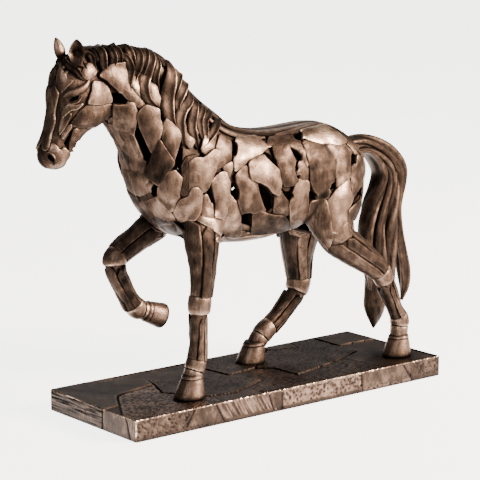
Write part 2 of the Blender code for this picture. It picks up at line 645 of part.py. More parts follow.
def taper(share, at_ends):
    """How wide a strip is at a share of its length, from about at_ends at its ends to 1 in the middle."""
    return at_ends + (1 - at_ends) * math.sin(math.pi * (0.1 + 0.82 * share))


def ridge_rings(points, widths, heights, outward):
    """Sections of a strip with a raised middle, square to its path."""
    rings = []
    for i, point in enumerate(points):
        along = (points[min(i + 1, len(points) - 1)] - points[max(i - 1, 0)]).normalized()
        up = (outward[i] - along * outward[i].dot(along)).normalized()
        across = along.cross(up)
        w, h = widths[i], heights[i]
        profile = ((-w, -RIDGE_FOOT), (-w * 0.9, h * 0.3), (0, h), (w * 0.9, h * 0.3), (w, -RIDGE_FOOT))
        rings.append([point + across * u + up * v for u, v in profile])
    return rings


def strip_on_skin(name, surface, points, half_width, height, collection):
    """A tapering ridged strip laid along points on the skin."""
    count = len(points)
    widths, heights = [], []
    for i in range(count):
        size = taper(i / (count - 1), 0.3)
        widths.append(half_width * size)
        heights.append(height * (0.4 + 0.6 * size))
    outward = [surface.normal(p, 4.0) for p in points]
    return loft(name, ridge_rings(points, widths, heights, outward), collection)


def mane_lock(name, surface, lock, collection, mirrored):
    *path, half_width = lock
    places = on_curve([(x, z) for x, z in path], 2)
    points = [surface.seen(x, z, NECK_GLASS) for x, z in places]
    if mirrored:
        points = [surface.other_side(p) for p in points]
    return strip_on_skin(name, surface, points, half_width, LOCK_HEIGHT, collection)


def strand(name, rows, collection, steps=2):
    """A strand of the tail: a ridged tube through points in the side view."""
    rings = []
    placed = on_curve(rows, steps)
    for i, (x, y, z, half_width, half_thick) in enumerate(placed):
        before, after = placed[max(i - 1, 0)], placed[min(i + 1, len(placed) - 1)]
        along = Vector((after[0] - before[0], 0, after[2] - before[2])).normalized()
        across = Vector((-along.z, 0, along.x))
        profile = ((1, 0), (0.55, 0.75), (-0.1, 1), (-0.85, 0.6), (-0.85, -0.6), (-0.1, -1), (0.55, -0.75))
        centre, thick = Vector((x, y, z)), Vector((0, half_thick, 0))
        rings.append([centre + across * (half_width * u) + thick * v for u, v in profile])
    return loft(name, rings, collection)


def limb_rib(name, leg, start, end, degrees, half_width, height, collection):
    """A long ridged strip down a leg, at an angle round it."""
    angle = math.radians(degrees)
    points, outward = [], []
    for centre, rear, depth, width in limb_frames(LIMBS[leg], np.linspace(start, end, RIB_ROWS)):
        side = Vector((0, 1, 0))
        points.append(centre + rear * (depth * math.cos(angle)) + side * (width * math.sin(angle)))
        outward.append(rear * (math.cos(angle) / depth) + side * (math.sin(angle) / width))
    widths = [half_width * taper(i / (RIB_ROWS - 1), 0.25) for i in range(RIB_ROWS)]
    heights = [height] * RIB_ROWS
    return loft(name, ridge_rings(points, widths, heights, outward), collection)


def hoof(name, size, collection):
    """A hoof: a cone that flares from the coronet to a flat sole."""
    coronet, sole, top_size, sole_size = size
    start, end = Vector(coronet), Vector(sole)
    axis = end - start
    on_ground = sole[2] == GROUND
    fore = Vector((1, 0, 0)) if on_ground else Vector((-axis.z, 0, axis.x)).normalized()
    rings = []
    for share, widen in ((-0.12, -0.1), (0.0, 0.0), (0.06, 0.06), (0.55, 0.55), (1.0, 1.0)):
        depth = top_size[0] + (sole_size[0] - top_size[0]) * widen
        width = top_size[1] + (sole_size[1] - top_size[1]) * widen
        centre = start + axis * share
        ring = []
        for i in range(BAND_SIDES):
            angle = 2 * math.pi * i / BAND_SIDES
            across = Vector((0, width * math.sin(angle), 0))
            ring.append(centre + fore * (depth * math.cos(angle)) + across)
        rings.append(ring)
    return loft(name, rings, collection)


def ear(name, tip, base, side, collection):
    """A cupped ear: half-moon sections from the base to the tip, open outward and forward."""
    tip, base = Vector(tip), Vector(base)
    along = (tip - base).normalized()
    open_to = Vector((-0.55, 0.85 * side, 0))
    open_to = (open_to - along * open_to.dot(along)).normalized()
    across = along.cross(open_to)
    rings = []
    for share, size in ((-0.35, 0.6), (0.0, 0.8), (0.3, 1.0), (0.6, 0.85), (0.85, 0.5), (1.0, 0.12)):
        centre = base.lerp(tip, share)
        half, back = EAR_HALF_WIDTH * size, EAR_BACK * size
        cup = EAR_CUP * size * min(1, max(0, share + 0.2) * 2)
        outer = ((-1, 0.3), (-0.75, -0.55), (0, -1), (0.75, -0.55), (1, 0.3))
        profile = (*outer, (0.45, 0.45 - cup), (0, 0.45 - 1.4 * cup), (-0.45, 0.45 - cup))
        rings.append([centre + across * (half * u) + open_to * (back * v) for u, v in profile])
    return loft(name, rings, collection)


def boolean(target, operand, operation):
    """Joins or cuts the target with another object, or with all objects of a collection."""
    change = target.modifiers.new(operation.lower(), "BOOLEAN")
    change.operation = operation
    change.solver = "MANIFOLD"
    if isinstance(operand, bpy.types.Collection):
        change.operand_type = "COLLECTION"
        change.collection = operand
    else:
        change.object = operand


def runs_from(face, edge):
    """The vertex of the edge that the face's winding meets first."""
    return next(loop.vert for loop in face.loops if loop.edge == edge)


def split_into_triangles(data):
    """Triangles only. Of two faces that were split along the same line, one is split the other way."""
    mesh = bmesh.new()
    mesh.from_mesh(data)
    bmesh.ops.triangulate(mesh, faces=mesh.faces)
    for edge in [edge for edge in mesh.edges if len(edge.link_faces) == 4]:
        first = edge.link_faces[0]
        start = runs_from(first, edge)
        facing = [face for face in edge.link_faces if runs_from(face, edge) != start]
        twin = max(facing, key=lambda face: face.normal.dot(first.normal))
        end = edge.other_vert(start)
        p = next(v for v in first.verts if v not in edge.verts)
        q = next(v for v in twin.verts if v not in edge.verts)
        mesh.faces.remove(first)
        mesh.faces.remove(twin)
        mesh.faces.new((start, q, p))
        mesh.faces.new((end, p, q))
    mesh.to_mesh(data)
    mesh.free()


def new_collection(name, parent):
    made = bpy.data.collections.new(name)
    parent.children.link(made)
    return made


def both_sides(count):
    for i in range(count):
        yield i, False
        yield i, True


def add_plates(surface, collection):
    for label, glass, plates in (
        ("flank", FLANK_GLASS, FLANK_PLATES),
        ("neck", NECK_GLASS, NECK_PLATES),
        ("head", HEAD_GLASS, HEAD_PLATES),
    ):
        for i, mirrored in both_sides(len(plates)):
            above = (PLATE_LIFT + PLATE_LIFT_STEP * (2 * i % 3)) / UNIT
            below = PLATE_BURIED / UNIT
            name = f"{label}_plate_{i}_{'right' if mirrored else 'left'}"
            plate(name, surface, plates[i], glass, above, below, collection, mirrored)


def add_cuts(surface, collection):
    for label, glass, openings, depth in (
        ("flank", FLANK_GLASS, FLANK_OPENINGS, FLANK_REACH),
        ("neck", NECK_GLASS, NECK_OPENINGS, NECK_REACH),
        ("face", HEAD_GLASS, FACE_POCKETS, POCKET_DEPTH),
    ):
        for i, mirrored in both_sides(len(openings)):
            name = f"{label}_cut_{i}_{'right' if mirrored else 'left'}"
            straight_cut(name, surface, openings[i], glass, depth / UNIT, collection, mirrored)


def add_carving(surface, collection):
    """Everything that stands on the skin besides its plates."""
    for i, lock in enumerate(MANE_LOCKS):
        mane_lock(f"lock_{i}_left", surface, lock, collection, False)
    for i, lock in enumerate(MANE_LOCKS[::2]):
        mane_lock(f"lock_{i}_right", surface, lock, collection, True)
    for i, (*path, half_width) in enumerate(SPINE_STRIPS):
        points = [surface.tree.find_nearest(Vector(p))[0] for p in on_curve(path, 2)]
        strip_on_skin(f"spine_{i}", surface, points, half_width, SPINE_HEIGHT, collection)
    for i, mirrored in both_sides(len(FACE_STRIPS)):
        *path, half_width, height = FACE_STRIPS[i]
        points = [surface.seen(x, z, HEAD_GLASS) for x, z in on_curve(path, 2)]
        if mirrored:
            points = [surface.other_side(p) for p in points]
        strip_on_skin(f"face_{i}_{mirrored}", surface, points, half_width, height, collection)
    for i, rows in enumerate(TAIL_STRANDS):
        strand(f"strand_{i}", rows, collection)
    for i, rib in enumerate(RIBS):
        limb_rib(f"rib_{i}", *rib, collection)
    for i, (leg, start, end, swell) in enumerate(BANDS):
        rings = limb_rings(LIMBS[leg], np.linspace(start, end, 3), BAND_SIDES, swell)
        loft(f"band_{i}", rings, collection)
    for leg, size in HOOVES.items():
        hoof(f"hoof_{leg}", size, collection)
    for label, (tip, base, side) in EARS.items():
        ear(f"ear_{label}", tip, base, side, collection)


def plinth_frame():
    """Lowest and highest corners of the plinth in metres, worked out from where the hooves stand."""
    soles = [size for size in HOOVES.values() if size[1][2] == GROUND]
    front = min(sole[0] - half[0] for _, sole, _, half in soles) * UNIT - PLINTH_AHEAD_OF_HOOF
    back = max(sole[0] + half[0] for _, sole, _, half in soles) * UNIT + PLINTH_BEHIND_HOOF
    side = max(abs(sole[1]) + half[1] for _, sole, _, half in soles) * UNIT + PLINTH_BESIDE_HOOF
    return front, back, side


def bronze(name, colour, roughness):
    material = bpy.data.materials.new(name)
    material.use_nodes = True
    shader = material.node_tree.nodes["Principled BSDF"]
    shader.inputs["Base Color"].default_value = (*colour, 1)
    shader.inputs["Roughness"].default_value = roughness
    shader.inputs["Metallic"].default_value = 0.85
    return material


def groove(name, points, outward, depth, collection):
    """A V-shaped cutter along points that lie on a face of the plinth."""
    rings = []
    last = len(points) - 1
    for j, point in enumerate(points):
        before = (point - points[j - 1]).normalized() if j else Vector()
        after = (points[j + 1] - point).normalized() if j < last else Vector()
        along = (before + after).normalized()
        if j == 0:
            point = point - along * SLAB_GROOVE_WIDTH
        if j == last:
            point = point + along * SLAB_GROOVE_WIDTH
        across = along.cross(outward) * (SLAB_GROOVE_WIDTH / 2)
        rise = outward * depth
        rings.append([point - across + rise, point + across + rise, point - rise])
    loft(name, rings, collection)


def make_plinth(collection, working):
    """The plinth: a slab with softened edges and grooves between its paving stones."""
    front, back, side = plinth_frame()
    length, width = back - front, 2 * side
    mesh = bmesh.new()
    bmesh.ops.create_cube(mesh, size=1)
    bmesh.ops.scale(mesh, vec=(length, width, PLINTH_THICKNESS), verts=mesh.verts)
    bmesh.ops.translate(mesh, vec=(0, 0, PLINTH_THICKNESS / 2), verts=mesh.verts)
    block = add_object("plinth_block", mesh, working)
    edges = block.modifiers.new("worn edges", "BEVEL")
    edges.width = PLINTH_EDGE
    edges.segments = 2
    grooves = new_collection("slab grooves", working)
    up = Vector((0, 0, 1))
    for i, joint in enumerate(SLAB_JOINTS):
        points = [Vector((x * length, y * width, PLINTH_THICKNESS)) for x, y in joint]
        groove(f"joint_{i}", points, up, SLAB_GROOVE_DEPTH * (1 + 0.08 * (i % 4)), grooves)
    faces = {
        "left": (Vector((-length, -width, 0)) / 2, Vector((length, 0, 0)), Vector((0, -1, 0))),
        "right": (Vector((-length, width, 0)) / 2, Vector((length, 0, 0)), Vector((0, 1, 0))),
        "front": (Vector((-length, width, 0)) / 2, Vector((0, -width, 0)), Vector((-1, 0, 0))),
        "back": (Vector((length, -width, 0)) / 2, Vector((0, width, 0)), Vector((1, 0, 0))),
    }
    for side, (corner, run, outward) in faces.items():
        for i, joint in enumerate(SIDE_JOINTS[side]):
            points = [corner + run * along + up * (PLINTH_THICKNESS * high) for along, high in joint]
            groove(f"{side}_joint_{i}", points, outward, SLAB_GROOVE_DEPTH, grooves)
    boolean(block, grooves, "DIFFERENCE")
    plinth = evaluated_copy(block, "plinth", collection)
    split_into_triangles(plinth.data)
    plinth.data.materials.clear()
    plinth.data.materials.append(bronze("stained bronze", (0.045, 0.032, 0.027), 0.35))
    return plinth


def make_horse(collection, working):
    """The horse: skin and carving joined, then opened and hollowed."""
    added = new_collection("plates and locks", working)
    openings = new_collection("openings", working)
    fine, skin = make_skin(working)
    surface = Surface(fine)
    add_plates(surface, added)
    add_carving(surface, added)
    add_cuts(surface, openings)
    wall = WALL / UNIT
    first, last = HOLLOW_ROWS
    hollow = loft("hollow", spine_rings(TRUNK[first:last], 1, 12, wall, WIDEST_HOLLOW / UNIT / 2), working)
    boolean(skin, added, "UNION")
    boolean(skin, openings, "DIFFERENCE")
    boolean(skin, hollow, "DIFFERENCE")
    whole = evaluated_copy(skin, "whole", working)
    split_into_triangles(whole.data)
    fewer = whole.modifiers.new("fewer", "DECIMATE")
    fewer.ratio = HORSE_TRIANGLES / len(whole.data.polygons)
    horse = evaluated_copy(whole, "horse", collection)
    front, back, _ = plinth_frame()
    seat = Matrix.Translation((-(front + back) / 2, 0, PLINTH_THICKNESS + SEAT_GAP))
    horse.data.transform(seat @ Matrix.Scale(UNIT, 4) @ Matrix.Translation((0, 0, -GROUND)))
    horse.data.materials.clear()
    horse.data.materials.append(bronze("rubbed bronze", (0.19, 0.11, 0.07), 0.38))
    bpy.data.objects.remove(fine)
    return horse


def main():
    for old in list(bpy.data.objects):
        bpy.data.objects.remove(old)
    scene = bpy.context.scene
    statue = new_collection("horse statue", scene.collection)
    working = new_collection("cutters", scene.collection)
    make_plinth(statue, working)
    make_horse(statue, working)
    for item in working.all_objects:
        item.hide_render = True
        item.display_type = "WIRE"


main()
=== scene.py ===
"""Walking horse statue in cold-cast bronze: the fine surface of the pierced horse and of its paved plinth.

The drawing that the tables hold is in millimetres. X runs from the head to the tail, Z runs up, and Y
runs from the horse's left side (negative) to its right side. GROUND is the height of the soles in it.
Outlines on the horse's left side are drawn on an upright sheet of glass that stands at a given Y, as
they are seen from the point SEEN_FROM, and are laid back from there onto the horse's skin.
"""

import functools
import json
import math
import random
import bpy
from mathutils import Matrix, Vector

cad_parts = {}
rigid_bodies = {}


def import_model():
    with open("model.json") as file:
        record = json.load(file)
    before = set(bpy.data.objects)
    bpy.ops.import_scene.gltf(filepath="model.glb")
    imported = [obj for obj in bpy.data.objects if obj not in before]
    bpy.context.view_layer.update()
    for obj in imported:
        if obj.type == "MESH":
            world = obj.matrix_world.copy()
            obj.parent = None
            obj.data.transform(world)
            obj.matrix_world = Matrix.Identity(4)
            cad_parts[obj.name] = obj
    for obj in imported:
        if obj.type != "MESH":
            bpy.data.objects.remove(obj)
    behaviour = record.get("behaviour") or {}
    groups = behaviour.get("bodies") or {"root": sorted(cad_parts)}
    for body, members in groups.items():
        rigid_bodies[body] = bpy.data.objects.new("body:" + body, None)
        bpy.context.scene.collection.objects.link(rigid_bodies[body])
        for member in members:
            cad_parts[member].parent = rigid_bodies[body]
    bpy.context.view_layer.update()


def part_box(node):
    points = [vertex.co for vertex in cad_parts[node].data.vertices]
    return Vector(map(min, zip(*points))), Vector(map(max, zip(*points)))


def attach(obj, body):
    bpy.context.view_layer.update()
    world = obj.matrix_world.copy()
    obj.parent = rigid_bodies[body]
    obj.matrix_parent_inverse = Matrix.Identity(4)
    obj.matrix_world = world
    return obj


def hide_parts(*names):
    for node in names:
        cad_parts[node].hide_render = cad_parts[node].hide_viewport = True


bl_info = {
    "name": "Pierced Bronze Horse",
    "version": (1, 0, 0),
    "blender": (4, 5, 0),
    "location": "View3D > Sidebar > Bronze Horse",
    "description": "Builds the fine surface of a walking horse statue and of its paved plinth",
    "category": "Add Mesh",
}

import bmesh
import bpy
import numpy as np
from bpy.props import FloatProperty, FloatVectorProperty, IntProperty, PointerProperty
from mathutils import Matrix, Vector, noise
from mathutils.bvhtree import BVHTree
from mathutils.geometry import delaunay_2d_cdt

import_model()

# The drawing's sole height and its height from there to the ear tips, in its own units
GROUND = 16.0
DRAWN_HEIGHT = 240.0
HORSE_LOW, HORSE_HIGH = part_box("horse")
PLINTH_LOW, PLINTH_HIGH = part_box("plinth")
UNIT = (HORSE_HIGH.z - HORSE_LOW.z) / DRAWN_HEIGHT
PLACED = (
    Matrix.Translation(((PLINTH_LOW.x + PLINTH_HIGH.x) / 2, 0, HORSE_LOW.z))
    @ Matrix.Scale(UNIT, 4)
    @ Matrix.Translation((0, 0, -GROUND))
)
SEEN_FROM = Vector((-794.0, -984.0, 345.0))

# Trunk and neck, poll to dock: crest x, z, keel x, z, half width, squareness, low bulge
TRUNK = (
    (-141, 243, -130, 210, 9, 1.0, 0.00),
    (-124, 244, -118, 199, 11, 0.95, 0.02),
    (-106, 242, -110, 187, 13.5, 0.95, 0.05),
    (-88, 236, -104, 175, 16.5, 0.92, 0.08),
    (-71, 225, -100, 162, 20, 0.9, 0.10),
    (-56, 211, -95, 149, 23, 0.88, 0.10),
    (-43, 201, -84, 133, 25.5, 0.86, 0.09),
    (-29, 193, -66, 121, 26.5, 0.86, 0.06),
    (-13, 187.5, -38, 114, 27.5, 0.86, 0.04),
    (5, 185.5, -10, 112, 28, 0.86, 0.02),
    (25, 186, 18, 114, 27.5, 0.86, 0.00),
    (42, 187.5, 42, 118, 27, 0.86, -0.02),
    (57, 187, 62, 123, 26, 0.86, -0.04),
    (71, 182, 80, 128, 23.5, 0.88, -0.04),
    (82, 176.5, 91, 137, 19, 0.9, 0.0),
    (90, 172, 96, 149, 11, 1.0, 0.0),
    (93, 168, 97, 156, 5, 1.0, 0.0),
)
# The rows between which the trunk is hollow, and the thickness of the shell round the hollow
HOLLOW_ROWS = (2, 15)
HOLLOW_WALL = 4.0

# Head, poll to lips, in the same columns
HEAD = (
    (-138, 248, -124, 226, 7, 1.0, 0.0),
    (-149, 244, -119, 216, 11, 0.95, 0.0),
    (-158, 235, -120.5, 206, 12.5, 0.9, 0.0),
    (-162, 223, -127, 199, 12.5, 0.9, 0.05),
    (-162, 212, -138, 194.5, 10.5, 0.9, 0.05),
    (-164, 202, -145, 188.5, 8.7, 0.9, 0.05),
    (-168, 192, -149.5, 183, 8.0, 0.88, 0.0),
    (-171, 184.5, -152, 178, 8.6, 0.86, 0.0),
    (-170, 178.5, -155, 174.5, 7.8, 0.9, 0.0),
    (-166.5, 174.5, -160, 173.2, 4.8, 1.0, 0.0),
)

# Mass of hair along the crest, from the poll to the withers, in the same columns
HAIR = (
    (-146, 247, -141, 238, 5, 1.0, 0.0),
    (-136, 250.5, -130, 235, 8, 1.0, 0.0),
    (-118, 250.5, -114, 231, 10, 1.0, 0.0),
    (-102, 249, -101, 227, 11.5, 1.0, 0.0),
    (-88, 247, -92, 221, 13, 1.0, 0.05),
    (-76, 241.5, -84, 212, 14.5, 1.0, 0.08),
    (-65, 230, -76, 201, 15.5, 1.0, 0.1),
    (-55, 217, -66, 192, 16, 1.0, 0.1),
    (-45, 208, -55, 185, 15, 1.0, 0.1),
    (-35, 201, -44, 184, 11, 1.0, 0.0),
    (-26, 194.5, -32, 184, 6, 1.0, 0.0),
)

# Legs, body to fetlock: x, y, z, half depth, half width
NEAR_FORELEG = (
    (-55, -13, 158, 18, 8),
    (-57, -17, 140, 16, 9),
    (-59, -21, 124, 13.2, 9.5),
    (-60.5, -23.5, 110, 10.6, 8.8),
    (-62, -24.6, 97, 8.6, 7.3),
    (-63.5, -25.2, 85, 7.4, 6.3),
    (-64.8, -25.4, 76, 7.2, 6.4),
    (-65.2, -25.5, 66, 6.0, 5.6),
    (-65.6, -25.5, 54, 5.6, 5.1),
    (-66.6, -25.6, 44, 5.9, 5.3),
    (-68.4, -25.8, 37, 6.8, 6.1),
    (-71.2, -26.0, 30, 6.2, 5.9),
    (-73.0, -26.2, 24, 5.5, 5.2),
)
FAR_FORELEG = (
    (-50, 13, 150, 17, 8),
    (-58, 17, 135, 14, 9),
    (-68, 21, 124, 11.6, 9),
    (-80, 23, 116.5, 9.0, 8.0),
    (-91, 24, 110, 7.4, 6.9),
    (-98.5, 24, 103.5, 7.4, 6.8),
    (-97.5, 24, 95, 6.4, 6.0),
    (-92, 24, 85, 5.9, 5.4),
    (-86.5, 24, 76, 6.0, 5.4),
    (-81, 24, 68.5, 6.9, 6.0),
    (-74, 24, 65.5, 6.0, 5.8),
    (-69, 24, 64, 5.5, 5.2),
)
NEAR_HINDLEG = (
    (70, -11, 160, 22, 11),
    (62, -15, 140, 25, 14),
    (54, -19, 122, 19, 12.5),
    (58, -23, 107, 12.5, 10.5),
    (71, -25.5, 97.5, 11.0, 8.6),
    (85, -26.6, 88, 9.0, 7.2),
    (96, -27, 79.5, 7.6, 6.6),
    (102, -27, 69, 6.0, 5.8),
    (107, -27, 59.5, 5.3, 5.2),
    (111.5, -27, 50, 5.4, 5.2),
    (116, -27, 41, 6.6, 6.1),
    (115.6, -27.1, 33, 6.3, 6.0),
    (114.5, -27.3, 25, 5.6, 5.4),
)
FAR_HINDLEG = (
    (72, 11, 160, 22, 11),
    (66, 14, 140, 25, 14),
    (62, 17, 122, 21, 12.5),
    (60.5, 20, 106, 17, 10.5),
    (60.5, 21.5, 92, 13.4, 8.6),
    (61.5, 22, 80, 10.4, 7.2),
    (61.8, 22, 70, 9.0, 6.8),
    (58.5, 22, 60, 7.8, 6.4),
    (50.5, 22, 52, 6.7, 5.9),
    (40.5, 22, 43.5, 6.4, 5.7),
    (29.5, 22, 36, 7.2, 6.4),
    (23.5, 22.1, 30, 6.8, 6.2),
    (20.0, 22.3, 24, 6.0, 5.5),
)
LIMBS = {
    "near_fore": NEAR_FORELEG,
    "far_fore": FAR_FORELEG,
    "near_hind": NEAR_HINDLEG,
    "far_hind": FAR_HINDLEG,
}

# Hooves: coronet and sole centres (x, y, z), then half depth and half width at each
HOOVES = {
    "near_fore": ((-71.6, -26, 29.5), (-74.5, -26.5, GROUND), (7.2, 6.8), (11.2, 9.4)),
    "far_fore": ((-73.0, 24, 65.0), (-60.5, 24, 60.2), (7.2, 6.8), (8.8, 8.2)),
    "near_hind": ((115.3, -27.1, 28.8), (113.2, -27.5, GROUND), (7.4, 7.0), (11.6, 9.4)),
    "far_hind": ((20.0, 22.2, 28.6), (17.0, 22.5, GROUND), (8.0, 7.4), (11.4, 9.4)),
}

# Bands round the legs: leg, first and last place along its rows, how far it stands out
BANDS = (
    ("near_fore", 5.25, 6.55, 0.9),
    ("near_fore", 9.5, 10.55, 0.5),
    ("near_fore", 10.62, 12.0, 0.3),
    ("far_fore", 4.45, 5.35, 1.0),
    ("far_fore", 8.6, 9.5, 0.5),
    ("far_fore", 9.6, 11.0, 0.4),
    ("near_hind", 6.0, 6.85, 0.7),
    ("near_hind", 9.6, 10.5, 0.5),
    ("near_hind", 10.57, 12.0, 0.3),
    ("far_hind", 5.9, 6.9, 1.0),
    ("far_hind", 9.5, 10.5, 0.5),
    ("far_hind", 10.57, 12.0, 0.3),
)

# Long plates down the legs: leg, first and last place, then the degrees from the rear at which one plate
# meets the next
LEG_PLATES = (
    ("near_fore", 1.32, 5.3, (-209, -120, -74, -38, 0, 48, 98, 151)),
    ("near_fore", 6.5, 9.55, (-205, -124, -82, -42, 8, 56, 108, 155)),
    ("far_fore", 1.9, 4.5, (-188, -112, -60, -8, 50, 112, 172)),
    ("far_fore", 5.3, 8.65, (-180, -116, -66, -16, 42, 100, 180)),
    ("near_hind", 2.75, 6.05, (-192, -106, -62, -26, 14, 60, 112, 168)),
    ("near_hind", 6.8, 9.65, (-186, -116, -72, -30, 34, 98, 174)),
    ("far_hind", 2.6, 5.95, (-184, -122, -82, -40, 12, 62, 118, 176)),
    ("far_hind", 6.85, 9.55, (-186, -116, -76, -30, 34, 98, 174)),
)
# A leg unrolled flat: millimetres for each degree round it and for each place along it
LEG_MM_PER_DEGREE = 0.12
LEG_MM_PER_PLACE = 12.0
# How bright the legs' plates are beside the body's: painted shade on the legs
LEG_PAINTED_SHADE = 0.6

# Plates of the belly: first and last place along the trunk, then the degrees from the crest that they span
BELLY_PLATES = (
    (6.3, 7.9, 150, 178), (7.95, 9.6, 154, 178), (9.65, 11.3, 152, 178), (11.35, 12.6, 158, 178),
    (2.3, 3.6, 150, 178), (3.65, 4.9, 150, 178), (4.95, 6.25, 152, 178),
    (1.0, 2.25, 150, 178),
)
BELLY_MM_PER_DEGREE = 0.45
BELLY_MM_PER_PLACE = 14.0

# Section of a band along its length: share of the length, share of how far it stands out, how bright it is
# rubbed
BAND_SECTION = (
    (0, -1.5, 0), (0, 0.1, 0.3), (0.04, 0.6, 0.75), (0.12, 0.95, 0.6), (0.3, 1.05, 0.42), (0.5, 1.1, 0.42),
    (0.7, 1.05, 0.42), (0.88, 0.95, 0.6), (0.96, 0.6, 0.75), (1, 0.1, 0.3), (1, -1.5, 0),
)

# Section of a hoof from coronet to sole: share of its height, share of its flare, swell, how bright it is
# rubbed
HOOF_SECTION = (
    (-0.14, -0.14, -0.3, 0.1), (-0.06, -0.06, -0.2, 0.3), (0.0, 0.0, 0.1, 0.6), (0.06, 0.05, 0.1, 0.6),
    (0.1, 0.08, -0.25, 0.1), (0.15, 0.14, -0.05, 0.45), (0.3, 0.28, 0, 0.5), (0.45, 0.43, 0.05, 0.5),
    (0.6, 0.58, 0.05, 0.5), (0.75, 0.74, 0, 0.45), (0.88, 0.88, 0, 0.4), (0.96, 0.97, 0.0, 0.3),
    (1.05, 1.0, -0.1, 0.0),
)

